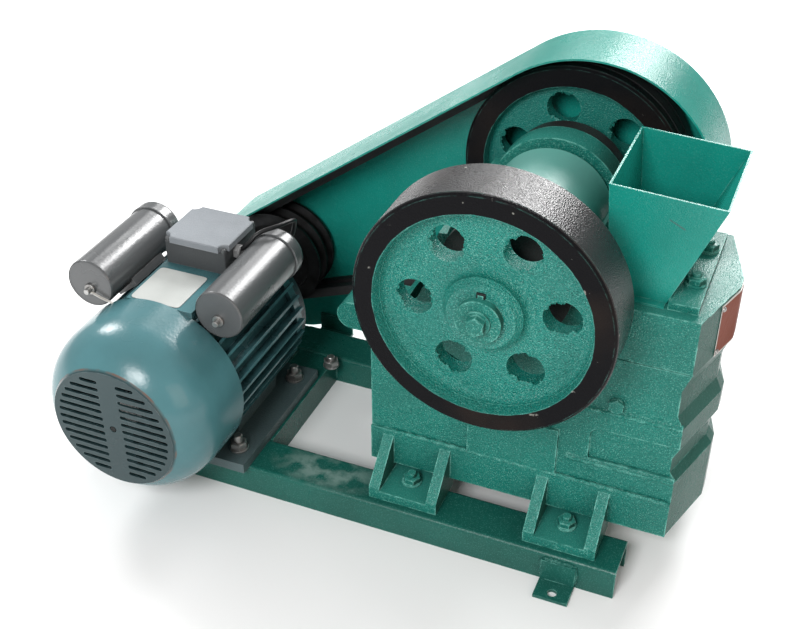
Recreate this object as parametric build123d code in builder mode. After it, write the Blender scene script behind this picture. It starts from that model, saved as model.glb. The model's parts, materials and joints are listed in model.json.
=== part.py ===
from build123d import *
import os
from math import acos, asin, atan2, cos, degrees, hypot, radians, sin, sqrt

# Small laboratory jaw crusher with its motor and belt drive on a channel base.
# Millimetres. +X points to the front of the crusher, where the crushed stone leaves,
# +Y to the belt side, +Z up. The origin lies on the floor, at the middle of the four
# anchor holes of the base. Both shafts lie along Y.

# base
rail_length = 634
rail_width = 53
rail_height = 36
rail_wall = 4.5
rail_outer_y = 139
cross_width = 50
anchor_x = 258
anchor_out = 20
anchor_hole_r = 5
tab_width = 37
tab_reach = 29
tab_height = 30
tab_wall = 4

# crank shaft line
shaft_x = 172
shaft_height = 338
bearing_r = 25
crank_r = 32
crank_throw = 5
wheel_seat_r = 20
shaft_fit = 0.05
running_gap = 5

# flywheel and belt wheel
wheel_r = 125
wheel_width = 60
belt_wheel_r = 121.5
belt_wheel_width = 54
belt_rim_inner_r = 99
belt_web_recess = 14
belt_hole_start = 44.5
wheel_gap = 118
rim_inner_r = 104
rim_draft = 3
rim_edge = 3
web_recess = 20
web_wall = 18
hub_r = 38
hub_nose_r = 32.5
hub_bevel = 7
hole_circle_r = 70.5
hole_r = 18.5
hole_count = 6
hole_start = 4.5
far_hub_recess = 16
washer_r = 22
washer_thickness = 8

# belts and motor pulley
belt_top = 16
belt_bottom = 9.6
belt_depth = 10.5
belt_pitch = 19
belt_count = 2
belt_proud = 1
belt_gap = 0.4
belt_mid_y = 149.5
pulley_r = 63.5
pulley_width = 42
pulley_hub_r = 24

# crusher body, a casting
chamber_half = 56
body_half = 85
relief = 3
wall_rear = 15
body_front = 181
body_bulge = 23
front_wall = 18
body_rear = 148
body_top = 17
body_bottom = 283
bearing_boss_r = 70
band_a = 77
band_b = 142
band_c = 167
band_d = 211
notch_top = 97
notch_low = 127
slot_top = 183
slot_low = 201
nose_relief = 7
crest_half = 8
seam = 1.2
seam_rear = 60
ledge_rear = 70
ledge_proud = 2.5
ledge_height = 9
flange_top = 238
flange_proud = 3
panel_rear = 92
panel_corner = 9
pad_front = 60
pad_rear = 37
pad_top = 180
pad_proud = 3

# feet of the casting
foot_width = 78
foot_reach = 45
foot_plate = 11
foot_top = 245
foot_centre = -6.5
foot_spacing = 175
gusset_wall = 12
foot_bolt_out = 16
foot_hole_r = 5.5

# bearings
race_r = 42
cover_r = 66
cover_width = 24

# jaws
mouth = 60
discharge = 10
jaw_top = 17
jaw_bottom = 235
plate_back = 10
tooth = 4
tooth_count = 8
cheek_wall = 6
side_gap = 2
pitman_r = 62
pitman_half = 53
pitman_bore = 43
pitman_arm_half = 46

# clamp strip and hopper
strip_depth = 29
strip_rear = 147
strip_length = 146
strip_height = 8
hopper_wall = 2
hopper_top_x = 108
hopper_top_y = 127
hopper_rise = 94
hopper_front_drop = 6
hopper_base_x = 55
hopper_flange = 9
hopper_base_y = 124
hopper_mid_x = 116.5
hopper_top_mid_x = 133
hopper_mid_y = -3

# toggle, at the rear of the crushing chamber
toggle_thickness = 10
toggle_width = 80
toggle_rise = 16
toggle_seat_back = 48
beam_depth = 40
rod_r = 4
rod_z = -245
rod_clearance = 1
rod_tail = 33
rod_nut_r = 8
rod_nut_depth = 7
spring_r = 9
spring_wire_r = 1.5
spring_pitch = 7
adjuster_reach = 66
adjuster_half = 28
adjuster_z = -144
adjuster_r = 17

# belt guard
guard_sheet = 2
guard_front_y = 95
guard_back_y = 180
guard_big_r = 138.5
guard_big_x = 20
guard_big_z = 3
guard_small_r = 83.5
guard_end_x = 1
guard_end_z = -13
guard_cut_front = 25
guard_drop = 36
band_foot = 42
guard_leg_width = 46
guard_leg_foot = 6
bracket_height = 26
bracket_wall = 3

# motor
motor_x = -204
motor_centre = 100
foot_hole_x = 160
foot_hole_y = 140
motor_foot_front_y = -125
motor_foot_thickness = 12
motor_foot_edge = 19
motor_foot_width = 49
stator_r = 86
fin_height = 10
fin_wall = 3
fin_count = 36
stator_rear_y = -150
stator_front_y = 20
seat_width = 12
top_pad_width = 80
top_pad_z = 232
shield_r = 92
shield_length = 50
motor_shaft_r = 14
motor_shaft_end = 166
cover_face_y = -237
cover_big_r = 100
cover_face_r = 72
cover_wall = 2.5
cover_shoulder = 58
slot_rows = 13
slot_pitch = 9.6
slot_height = 4.4
slot_gap_half = 11
fan_r = 78
fan_disc_r = 70
fan_hub_r = 24
fan_blades = 8
fan_wall = 3
fan_depth = 36
fan_front_y = -205

# terminal box and capacitors
box_x = 76
box_y = 70
box_mid_x = 6
box_mid_y = -24
lid_height = 8
lid_notch = 9
box_top = 267
can_r = 28
can_front_y = -138
can_back_y = -12
can_cap_length = 16
can_offset = 79
can_z = 238
strap_y = -100
strap_width = 60
strap_sink = 5
strap_foot = 30
gland_y = -34
gland_z = 250
gland_r = 8.5
gland_nut = 4.5
gland_length = 7
lead_r = 2.5

shaft_z = shaft_height
motor_z = rail_height + motor_centre
rail_inner_y = rail_outer_y - rail_width
wheel_near_y = -(wheel_gap + wheel_width)
shaft_axis = Axis((shaft_x, 0, shaft_z), (0, 1, 0))
motor_axis = Axis((motor_x, 0, motor_z), (0, 1, 0))
shaft_plane = Plane(origin=(shaft_x, 0, shaft_z), x_dir=(0, 1, 0), z_dir=(1, 0, 0))
motor_plane = Plane(origin=(motor_x, 0, motor_z), x_dir=(0, 1, 0), z_dir=(1, 0, 0))


def side_plane(y):
    """A plane across the machine at y: its own x is X, its own y is Z, and it faces -Y."""
    return Plane(origin=(0, y, 0), x_dir=(1, 0, 0), z_dir=(0, -1, 0))


def crank_plane(y):
    """The same plane with its origin on the crank shaft's axis."""
    return Plane(origin=(shaft_x, y, shaft_z), x_dir=(1, 0, 0), z_dir=(0, -1, 0))


def finish(builder, name):
    """Label a finished piece and write it to its own file."""
    builder.part.label = name
    export_step(builder.part, f"parts/{name}.step")


def tangent_loop(x1, z1, r1, x2, z2, r2):
    """Two arcs and the two straight runs that touch both, drawn in the current plane."""
    reach = hypot(x2 - x1, z2 - z1)
    heading = atan2(z2 - z1, x2 - x1)
    spread = acos((r1 - r2) / reach)

    def at(x, z, r, angle):
        return (x + r * cos(angle), z + r * sin(angle))

    upper = heading - spread
    lower = heading + spread
    run = Line(at(x1, z1, r1, upper), at(x2, z2, r2, upper))
    ThreePointArc(run @ 1, at(x2, z2, r2, heading), at(x2, z2, r2, lower))
    Line(at(x2, z2, r2, lower), at(x1, z1, r1, lower))
    ThreePointArc(at(x1, z1, r1, lower), at(x1, z1, -r1, heading), run @ 0)


os.makedirs("parts", exist_ok=True)


# the two rails: channels lying web up, open at their ends
def rail(name, side):
    mid_y = side * (rail_outer_y - rail_width / 2)
    end = Plane(origin=(-rail_length / 2, mid_y, 0), x_dir=(0, 1, 0), z_dir=(1, 0, 0))
    with BuildPart() as built:
        with BuildSketch(end):
            Rectangle(rail_width, rail_height, align=(Align.CENTER, Align.MIN))
            Rectangle(rail_width - 2 * rail_wall, rail_height - rail_wall,
                      align=(Align.CENTER, Align.MIN), mode=Mode.SUBTRACT)
        extrude(amount=rail_length)
        outer = built.edges().filter_by(Axis.X).group_by(Axis.Z)[-1]
        fillet(outer, rail_wall)
    finish(built, name)


rail("near_rail", -1)
rail("far_rail", 1)


# cross members: the same channel between the rails, under the motor's feet
def cross_member(name, mid_x):
    start = Plane(origin=(mid_x, -rail_inner_y, 0), x_dir=(-1, 0, 0), z_dir=(0, 1, 0))
    with BuildPart() as built:
        with BuildSketch(start):
            Rectangle(cross_width, rail_height, align=(Align.CENTER, Align.MIN))
            Rectangle(cross_width - 2 * rail_wall, rail_height - rail_wall,
                      align=(Align.CENTER, Align.MIN), mode=Mode.SUBTRACT)
        extrude(amount=2 * rail_inner_y)
    finish(built, name)


inner_foot_x = motor_x + foot_hole_x / 2
outer_foot_x = motor_x - foot_hole_x / 2
cross_member("inner_cross_member", inner_foot_x - 3)
cross_member("outer_cross_member", outer_foot_x)

# anchor tabs: bent straps on the outer face of the rails
with BuildPart() as anchor_tabs:
    for side_x in (-1, 1):
        for side in (-1, 1):
            start = Plane(origin=(side_x * anchor_x - tab_width / 2, side * rail_outer_y, 0),
                          x_dir=(0, side, 0), z_dir=(1, 0, 0))
            with BuildSketch(start):
                with BuildLine():
                    up = side
                    Polyline((0, 0), (tab_reach, 0), (tab_reach, up * tab_wall),
                             (tab_wall, up * tab_wall), (tab_wall, up * tab_height),
                             (0, up * tab_height), close=True)
                make_face()
            extrude(amount=tab_width)
    with Locations(*[(sx * anchor_x, sy * (rail_outer_y + anchor_out), tab_wall)
                     for sx in (-1, 1) for sy in (-1, 1)]):
        Hole(anchor_hole_r, depth=tab_wall)
finish(anchor_tabs, "anchor_tabs")


# crusher body: each level of its nose, and how far the face is set back there
nose_levels = ((body_top, 0), (band_a, 0), (notch_top, nose_relief), (notch_low, nose_relief),
               (band_b, 0), (band_c, 0), (slot_top, nose_relief), (slot_low, nose_relief),
               (band_d, 0), (body_bottom, 0))
inner_front = body_front - front_wall
slab_front = body_front - nose_relief
with BuildPart() as jaw_frame:
    # one thick slab in the outline of the side walls, with the round bearing housing
    with BuildSketch(crank_plane(body_half)):
        with BuildLine():
            Polyline((-body_rear, -body_bottom), (-body_rear, -126), (-102, -72),
                     (-89, -41), (-80, 7), (-75, 21), (0, 30), (64, 21), (69, -body_top),
                     (slab_front, -body_top), (slab_front, -body_bottom), close=True)
        make_face()
        Circle(bearing_boss_r)
    extrude(amount=2 * body_half)
    # the nose: a shallow prow with two notches round it
    for (top, set_top), (low, set_low) in zip(nose_levels, nose_levels[1:]):
        for level, back in ((top, set_top), (low, set_low)):
            with BuildSketch(Plane.XY.offset(shaft_z - level)):
                with BuildLine():
                    flat = shaft_x + body_front - back
                    Polyline((flat - 40, -body_half), (flat, -body_half),
                             (flat + body_bulge, -crest_half), (flat + body_bulge, crest_half),
                             (flat, body_half), (flat - 40, body_half), close=True)
                make_face()
        loft()
    # the inside is open from top to bottom between the walls
    with BuildSketch(crank_plane(chamber_half)):
        with Locations((wall_rear - body_rear, -body_bottom)):
            Rectangle(inner_front + body_rear - wall_rear, 400, align=(Align.MIN, Align.MIN))
    extrude(amount=2 * chamber_half, mode=Mode.SUBTRACT)
    # on each flank: a fine seam, a recessed panel with round corners, and two ledges
    for y_high, seam_y in ((-body_half + relief, -body_half + seam), (body_half, body_half)):
        with BuildSketch(crank_plane(y_high)) as panel:
            with Locations((panel_rear, -band_d)):
                Rectangle(160, band_d - band_c, align=(Align.MIN, Align.MIN))
            fillet(panel.vertices().group_by(Axis.X)[0], panel_corner)
        extrude(amount=relief, mode=Mode.SUBTRACT)
        with BuildSketch(crank_plane(seam_y)):
            with Locations((seam_rear, -band_a)):
                Rectangle(160, seam, align=(Align.MIN, Align.MIN))
        extrude(amount=seam, mode=Mode.SUBTRACT)
    for side in (-1, 1):
        for level in (band_b, band_d):
            with BuildSketch(Plane(origin=(shaft_x + ledge_rear, 0, 0), x_dir=(0, 1, 0),
                                   z_dir=(1, 0, 0))):
                with BuildLine():
                    inner = side * (body_half - 2)
                    outer = side * (body_half + ledge_proud)
                    high = shaft_z - level + ledge_height / 2
                    Polyline((inner, high), (side * body_half, high),
                             (outer, high - ledge_height / 2),
                             (side * body_half, high - ledge_height), (inner, high - ledge_height),
                             close=True)
                make_face()
            extrude(amount=body_front - ledge_rear)
    # the flange along the lower edge and the raised pad under the wheels
    for y_high in (-body_half, body_half + flange_proud):
        with BuildSketch(crank_plane(y_high)):
            with Locations((-body_rear, -body_bottom)):
                Rectangle(body_rear + body_front, body_bottom - flange_top,
                          align=(Align.MIN, Align.MIN))
            with Locations((-pad_rear, -flange_top)):
                Rectangle(pad_rear + pad_front, flange_top - pad_top,
                          align=(Align.MIN, Align.MIN))
        extrude(amount=flange_proud)
    # feet: a plate on the rail with a slanted gusset at each end
    for side in (-1, 1):
        for index in (-1, 1):
            foot_x = shaft_x + foot_centre + index * foot_spacing / 2
            with BuildSketch(Plane.XY.offset(rail_height)):
                with Locations((foot_x, side * (body_half + foot_reach / 2 - 5))):
                    Rectangle(foot_width, foot_reach + 10)
                with Locations((foot_x, side * (body_half + foot_bolt_out))):
                    Circle(foot_hole_r, mode=Mode.SUBTRACT)
            extrude(amount=foot_plate)
            for end in (-1, 1):
                edge_x = foot_x + end * (foot_width - gusset_wall) / 2 - gusset_wall / 2
                with BuildSketch(Plane(origin=(edge_x, 0, 0), x_dir=(0, 1, 0),
                                       z_dir=(1, 0, 0))):
                    with BuildLine():
                        inner = side * (body_half - 6)
                        outer = side * (body_half + foot_reach)
                        Polyline((inner, rail_height), (outer, rail_height),
                                 (outer, rail_height + foot_plate + 3),
                                 (side * (body_half + 3), shaft_z - foot_top),
                                 (inner, shaft_z - foot_top), close=True)
                    make_face()
                extrude(amount=gusset_wall)
    # hole for the tension rod in the rear wall
    with BuildSketch(Plane(origin=(shaft_x - body_rear, 0, shaft_z + rod_z),
                           z_dir=(1, 0, 0))):
        Circle(rod_r + rod_clearance)
    extrude(amount=wall_rear, mode=Mode.SUBTRACT)
    # bores for the main bearings
    with BuildSketch(crank_plane(body_half + 5)):
        Circle(race_r)
    extrude(amount=2 * body_half + 10, mode=Mode.SUBTRACT)
finish(jaw_frame, "jaw_frame")


# bearings and their covers
def ring(name, outer_r, bore_r, y_low, y_high):
    with BuildPart() as built:
        with BuildSketch(crank_plane(y_high)):
            Circle(outer_r)
            Circle(bore_r, mode=Mode.SUBTRACT)
        extrude(amount=y_high - y_low)
    finish(built, name)


for name, side in (("near", -1), ("far", 1)):
    faces = sorted((side * chamber_half, side * body_half))
    ring(f"{name}_bearing", race_r, bearing_r + shaft_fit, *faces)

with BuildPart() as bearing_covers:
    for y_high in (-body_half, body_half + cover_width):
        with BuildSketch(crank_plane(y_high)):
            Circle(cover_r)
            Circle(bearing_r + 2, mode=Mode.SUBTRACT)
        extrude(amount=cover_width)
finish(bearing_covers, "bearing_covers")


# jaws
fixed_face = inner_front - plate_back - tooth


def toothed_plate(name, half, lean_deg, top_x, height, faces_front):
    """A jaw plate: a flat back with upright V teeth, standing on its lower edge."""
    pitch = 2 * half / tooth_count
    sign = 1 if faces_front else -1
    lean = radians(lean_deg)
    base = Plane(origin=(shaft_x + top_x, 0, shaft_z - jaw_top),
                 x_dir=(cos(lean), 0, sin(lean)), z_dir=(sin(lean), 0, -cos(lean)))
    with BuildPart() as built:
        with BuildSketch(base):
            with BuildLine():
                points = [(-sign * (plate_back + tooth), -half)]
                for index in range(tooth_count):
                    left = -half + index * pitch
                    points.append((-sign * tooth, left))
                    points.append((0, left + pitch / 2))
                points.append((-sign * tooth, half))
                points.append((-sign * (plate_back + tooth), half))
                Polyline(*points, close=True)
            make_face()
        extrude(amount=height)
    finish(built, name)


jaw_height = jaw_bottom - jaw_top
lean_angle = degrees(atan2(mouth - discharge, jaw_height))
toothed_plate("fixed_jaw_plate", chamber_half - cheek_wall, 0, fixed_face, jaw_height, False)
toothed_plate("moving_jaw_plate", chamber_half - cheek_wall - side_gap, lean_angle,
              fixed_face - mouth, jaw_height / cos(radians(lean_angle)), True)

for name, side in (("near", -1), ("far", 1)):
    with BuildPart() as cheek:
        high = max(side * chamber_half, side * (chamber_half - cheek_wall))
        with BuildSketch(crank_plane(high)):
            with BuildLine():
                Polyline((fixed_face - mouth - 10, -jaw_top), (inner_front, -jaw_top),
                         (inner_front, -jaw_bottom), (fixed_face - discharge - 10, -jaw_bottom),
                         close=True)
            make_face()
        extrude(amount=cheek_wall)
    finish(cheek, f"{name}_cheek_plate")

# swing jaw: a round housing on the crank with an arm that carries the moving plate
plate_depth = (plate_back + tooth) / cos(radians(lean_angle))
top_x = fixed_face - mouth - plate_depth
low_x = fixed_face - discharge - plate_depth
seat_x = low_x - toggle_seat_back
toggle_z = toggle_rise - jaw_bottom
beam_x = -body_rear + wall_rear
with BuildPart() as swing_jaw:
    with BuildSketch(crank_plane(pitman_half)):
        Circle(pitman_r)
    extrude(amount=2 * pitman_half)
    rims = swing_jaw.edges().filter_by(GeomType.CIRCLE)
    chamfer(rims, 4)
    with BuildSketch(crank_plane(pitman_arm_half)):
        with BuildLine():
            Polyline((top_x, -jaw_top), (low_x, -jaw_bottom), (low_x - 12, -jaw_bottom - 20),
                     (seat_x, -jaw_bottom - 20), (seat_x, toggle_z + 30), (-46, -40),
                     (-20, 10), (top_x - 10, 10), close=True)
        make_face()
    extrude(amount=2 * pitman_arm_half)
    with BuildSketch(crank_plane(pitman_half)):
        Circle(pitman_bore)
    extrude(amount=2 * pitman_half, mode=Mode.SUBTRACT)
finish(swing_jaw, "swing_jaw")

# clamp strip that holds the fixed plate down
with BuildPart() as clamp_strip:
    with BuildSketch(Plane.XY.offset(shaft_z - body_top)):
        with Locations((shaft_x + strip_rear, 0)):
            Rectangle(strip_depth, strip_length, align=(Align.MIN, Align.CENTER))
    extrude(amount=strip_height)
finish(clamp_strip, "clamp_strip")

# hopper: a folded sheet funnel, upright at its sides and flared front and back
with BuildPart() as hopper:
    base_z = shaft_z - body_top
    lower = Plane.XY.offset(base_z)
    tilt = degrees(atan2(hopper_front_drop, hopper_top_x))
    upper = Plane(origin=(shaft_x + hopper_top_mid_x, hopper_mid_y,
                          base_z + hopper_rise + body_top),
                  x_dir=(cos(radians(tilt)), 0, -sin(radians(tilt))),
                  z_dir=(sin(radians(tilt)), 0, cos(radians(tilt))))
    with BuildSketch(lower):
        with Locations((shaft_x + hopper_mid_x, hopper_mid_y)):
            Rectangle(hopper_base_x, hopper_base_y)
    with BuildSketch(upper):
        Rectangle(hopper_top_x, hopper_top_y)
    loft()
    # a flange along each side, on the crusher body
    with BuildSketch(lower):
        with Locations((shaft_x + hopper_mid_x, hopper_mid_y)):
            Rectangle(hopper_base_x, hopper_base_y + 2 * hopper_flange)
    extrude(amount=hopper_wall)
    with BuildSketch(lower):
        with Locations((shaft_x + hopper_mid_x, hopper_mid_y)):
            Rectangle(hopper_base_x - 2 * hopper_wall, hopper_base_y - 2 * hopper_wall)
    with BuildSketch(upper):
        Rectangle(hopper_top_x - 2 * hopper_wall, hopper_top_y - 2 * hopper_wall)
    loft(mode=Mode.SUBTRACT)
finish(hopper, "hopper")

# toggle plate between the swing jaw and the beam at the rear wall
with BuildPart() as toggle_beam:
    with BuildSketch(crank_plane(chamber_half)):
        with BuildLine():
            Polyline((beam_x, toggle_z - 14), (beam_x + beam_depth, toggle_z - 14),
                     (beam_x + beam_depth, toggle_z + 14), (beam_x, toggle_z + 32), close=True)
        make_face()
    extrude(amount=2 * chamber_half)
finish(toggle_beam, "toggle_beam")

with BuildPart() as toggle_plate:
    with BuildSketch(crank_plane(toggle_width / 2)):
        with Locations((beam_x + beam_depth, toggle_z)):
            Rectangle(seat_x - beam_x - beam_depth, toggle_thickness,
                      align=(Align.MIN, Align.CENTER))
    extrude(amount=toggle_width)
finish(toggle_plate, "toggle_plate")

# tension rod that holds the swing jaw against the toggle plate, with its spring
spring_length = rod_tail - rod_nut_depth
with BuildPart() as tension_rod:
    tail = Plane(origin=(shaft_x - body_rear - rod_tail, 0, shaft_z + rod_z), z_dir=(1, 0, 0))
    with BuildSketch(tail):
        Circle(rod_r)
    extrude(amount=seat_x + body_rear + rod_tail)
    with BuildSketch(tail):
        RegularPolygon(rod_nut_r, 6)
    extrude(amount=rod_nut_depth - 3)
    with BuildSketch(tail.offset(rod_nut_depth - 3)):
        Circle(spring_r + spring_wire_r + 1)
    extrude(amount=3)
finish(tension_rod, "tension_rod")

with BuildPart() as tension_spring:
    coil_length = spring_length - 2 * spring_wire_r
    with BuildLine() as coil:
        Helix(spring_pitch, coil_length, spring_r, direction=(1, 0, 0),
              center=(shaft_x - body_rear - spring_length + spring_wire_r, 0, shaft_z + rod_z))
    with BuildSketch(Plane(origin=coil.line @ 0, z_dir=coil.line % 0)):
        RegularPolygon(spring_wire_r, 6)
    sweep(path=coil.wire(), is_frenet=True)
finish(tension_spring, "tension_spring")

# rounded housing of the adjusting screw, on the rear wall
with BuildPart() as rear_adjuster:
    with BuildSketch(crank_plane(adjuster_half)):
        with BuildLine():
            high = adjuster_z + adjuster_r
            low = adjuster_z - adjuster_r
            tip = -body_rear - adjuster_reach + adjuster_r
            Line((-body_rear, low), (-body_rear, high))
            Line((-body_rear, high), (tip, high))
            ThreePointArc((tip, high), (tip - adjuster_r, adjuster_z), (tip, low))
            Line((tip, low), (-body_rear, low))
        make_face()
    extrude(amount=2 * adjuster_half)
finish(rear_adjuster, "rear_adjuster")


# wheels on the crank shaft
def wheel_profile(outer_y, inner_y, nose_y, outer_r, inner_r, outer_recess, inner_recess):
    """Half section of a wheel, as points of (y, radius), from its outer to its inner face."""
    turn = 1 if inner_y > outer_y else -1
    web_out = outer_y + turn * outer_recess
    web_in = inner_y - turn * inner_recess
    return [(nose_y, wheel_seat_r), (nose_y, hub_nose_r), (nose_y + turn * hub_bevel, hub_r),
            (web_out, hub_r), (web_out, inner_r - rim_draft), (outer_y, inner_r),
            (outer_y, outer_r - rim_edge), (outer_y + turn * rim_edge, outer_r),
            (inner_y - turn * rim_edge, outer_r), (inner_y, outer_r - rim_edge),
            (inner_y, inner_r), (web_in, inner_r - rim_draft), (web_in, hub_r),
            (inner_y, hub_nose_r), (inner_y, wheel_seat_r)]


with BuildPart() as flywheel:
    with BuildSketch(shaft_plane):
        with BuildLine():
            Polyline(*wheel_profile(wheel_near_y, -wheel_gap, wheel_near_y + 2, wheel_r,
                                    rim_inner_r, web_recess, web_recess), close=True)
        make_face()
    revolve(axis=shaft_axis)
    with BuildSketch(crank_plane(-wheel_gap)):
        with PolarLocations(hole_circle_r, hole_count, start_angle=hole_start):
            Circle(hole_r)
    extrude(amount=wheel_width, mode=Mode.SUBTRACT)
finish(flywheel, "flywheel")

groove_lines = [belt_mid_y + (index - (belt_count - 1) / 2) * belt_pitch
                for index in range(belt_count)]


def groove(mid_y, rim_radius):
    """Section of one belt groove, wider than the belt by the running gap all round."""
    half_top = belt_top / 2 + belt_gap
    half_low = belt_bottom / 2 + belt_gap
    low = rim_radius + belt_proud - belt_depth - belt_gap
    high = rim_radius + belt_proud
    Polyline((mid_y - half_low, low), (mid_y + half_low, low), (mid_y + half_top, high),
             (mid_y - half_top, high), close=True)


far_outer_y = wheel_gap + belt_wheel_width
with BuildPart() as belt_wheel:
    with BuildSketch(shaft_plane):
        with BuildLine():
            Polyline(*wheel_profile(far_outer_y, wheel_gap, far_outer_y - far_hub_recess,
                                    belt_wheel_r, belt_rim_inner_r,
                                    belt_wheel_width - belt_web_recess - web_wall,
                                    belt_web_recess), close=True)
        make_face()
    revolve(axis=shaft_axis)
    with BuildSketch(crank_plane(far_outer_y)):
        with PolarLocations(hole_circle_r, hole_count, start_angle=belt_hole_start):
            Circle(hole_r)
    extrude(amount=belt_wheel_width, mode=Mode.SUBTRACT)
    for line_y in groove_lines:
        with BuildSketch(shaft_plane):
            with BuildLine():
                groove(line_y, belt_wheel_r)
            make_face()
        revolve(axis=shaft_axis, mode=Mode.SUBTRACT)
finish(belt_wheel, "belt_wheel")

# crank shaft: seats for the wheels and bearings, and the offset crank inside the swing jaw
near_nose_y = wheel_near_y + 2
far_nose_y = far_outer_y - far_hub_recess
with BuildPart() as crank_shaft:
    with BuildSketch(crank_plane(far_nose_y)):
        Circle(wheel_seat_r)
    extrude(amount=far_nose_y - near_nose_y)
    with BuildSketch(crank_plane(wheel_gap)):
        Circle(bearing_r)
    extrude(amount=2 * wheel_gap)
    with BuildSketch(crank_plane(pitman_half)):
        with Locations((0, crank_throw)):
            Circle(crank_r)
    extrude(amount=2 * pitman_half)
finish(crank_shaft, "crank_shaft")

for name, y_low in (("near", near_nose_y - washer_thickness), ("far", far_nose_y)):
    with BuildPart() as washer:
        with BuildSketch(crank_plane(y_low + washer_thickness)):
            Circle(washer_r)
        extrude(amount=washer_thickness)
    finish(washer, f"{name}_end_washer")

# belts
pulley_low_y = belt_mid_y - pulley_width / 2
with BuildPart() as v_belts:
    for line_y in groove_lines:
        with BuildLine(side_plane(line_y)) as run:
            tangent_loop(shaft_x, shaft_z, belt_wheel_r + belt_proud, motor_x, motor_z,
                         pulley_r + belt_proud)
        start = Plane(origin=run.line @ 0, x_dir=(0, 1, 0), z_dir=run.line % 0)
        with BuildSketch(start) as section:
            with BuildLine():
                Polyline((-belt_top / 2, 0), (belt_top / 2, 0), (belt_bottom / 2, belt_depth),
                         (-belt_bottom / 2, belt_depth), close=True)
            make_face()
        sweep(path=run.wire())
finish(v_belts, "v_belts")

# belt guard: a back sheet, and a band round its upper run and both ends
end_x = motor_x + guard_end_x
end_z = motor_z + guard_end_z
big_x = shaft_x + guard_big_x
big_z = shaft_z + guard_big_z
guard_leg_xs = (end_x + 60, big_x)


def guard_line(inset):
    """The guard's outline: round at the wheel, drawn out downwards at the motor."""
    big, small, low_z = guard_big_r - inset, guard_small_r - inset, end_z - guard_drop
    heading = atan2(big_z - end_z, big_x - end_x)
    spread = asin((big - small) / hypot(big_x - end_x, big_z - end_z))
    upper = heading + spread + radians(90)
    low_heading = atan2(big_z - low_z, big_x - end_x)
    lower = low_heading - asin((big - small) / hypot(big_x - end_x, big_z - low_z)) - radians(90)

    def at(x, z, r, angle):
        return (x + r * cos(angle), z + r * sin(angle))

    start, left = at(end_x, end_z, small, upper), (end_x - small, end_z)
    Line(at(big_x, big_z, big, upper), start)
    ThreePointArc(start, at(end_x, end_z, small, (upper + radians(180)) / 2), left)
    Line(left, (end_x - small, low_z))
    ThreePointArc((end_x - small, low_z), at(end_x, low_z, small, (lower - radians(180)) / 2),
                  at(end_x, low_z, small, lower))
    Line(at(end_x, low_z, small, lower), at(big_x, big_z, big, lower))
    ThreePointArc(at(big_x, big_z, big, lower), (big_x + big, big_z),
                  at(big_x, big_z, big, upper))


with BuildPart() as belt_guard:
    with BuildSketch(side_plane(guard_back_y)):
        with BuildLine():
            guard_line(0)
        make_face()
    extrude(amount=guard_sheet)
    with BuildSketch(side_plane(guard_back_y)):
        with BuildLine():
            guard_line(0)
        make_face()
        with BuildLine():
            guard_line(guard_sheet)
        make_face(mode=Mode.SUBTRACT)
        # the band ends above the rail at the motor and behind the hopper at the front
        with BuildLine():
            Polyline((end_x - 2 * guard_small_r, band_foot), (end_x - 20, band_foot),
                     (end_x, end_z), (big_x, big_z - guard_cut_front),
                     (big_x + 2 * guard_big_r, big_z - guard_cut_front),
                     (big_x + 2 * guard_big_r, -60), (end_x - 2 * guard_small_r, -60), close=True)
        make_face(mode=Mode.SUBTRACT)
    extrude(amount=guard_back_y - guard_front_y)
    # the leg of the back sheet under the wheel
    with BuildSketch(side_plane(guard_back_y)):
        with Locations((big_x, guard_leg_foot)):
            Rectangle(guard_leg_width, big_z - guard_big_r + 10 - guard_leg_foot,
                      align=(Align.CENTER, Align.MIN))
    extrude(amount=guard_sheet)
finish(belt_guard, "belt_guard")

with BuildPart() as guard_brackets:
    bracket_reach = guard_back_y - guard_sheet - rail_outer_y
    for leg_x in guard_leg_xs:
        start = Plane(origin=(leg_x - guard_leg_width / 2, rail_outer_y, guard_leg_foot),
                      x_dir=(0, 1, 0), z_dir=(1, 0, 0))
        with BuildSketch(start):
            with BuildLine():
                Polyline((0, 0), (bracket_reach, 0), (bracket_reach, bracket_height),
                         (bracket_reach - bracket_wall, bracket_height),
                         (bracket_reach - bracket_wall, bracket_wall),
                         (bracket_wall, bracket_wall), (bracket_wall, bracket_height),
                         (0, bracket_height), close=True)
            make_face()
        extrude(amount=guard_leg_width)
finish(guard_brackets, "guard_brackets")

# motor
cover_end_y = stator_rear_y + seat_width
with BuildPart() as motor_housing:
    with BuildSketch(Plane(origin=(motor_x, stator_front_y, motor_z), x_dir=(1, 0, 0),
                           z_dir=(0, -1, 0))):
        Circle(stator_r)
        with PolarLocations(stator_r, fin_count):
            Rectangle(2 * fin_height, fin_wall)
    extrude(amount=stator_front_y - stator_rear_y)
    for seat_y, seat_r in ((stator_rear_y + seat_width, cover_big_r - cover_wall),
                           (stator_front_y, shield_r)):
        with BuildSketch(Plane(origin=(motor_x, seat_y, motor_z), x_dir=(1, 0, 0),
                               z_dir=(0, -1, 0))):
            Circle(seat_r)
        extrude(amount=seat_width)
    with BuildSketch(Plane(origin=(motor_x, stator_front_y, motor_z), x_dir=(1, 0, 0),
                           z_dir=(0, -1, 0))):
        Circle(motor_shaft_r + shaft_fit)
    extrude(amount=stator_front_y - stator_rear_y, mode=Mode.SUBTRACT)
    # flat pad on top for the terminal box and the plate
    pad_rear_y = box_mid_y + box_y / 2 + 4
    with BuildSketch(Plane.XY.offset(motor_z + stator_r - 14)):
        with Locations((motor_x + box_mid_x, cover_end_y)):
            Rectangle(top_pad_width, pad_rear_y - cover_end_y, align=(Align.CENTER, Align.MIN))
    extrude(amount=top_pad_z - motor_z - stator_r + 14)
finish(motor_housing, "motor_housing")

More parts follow.
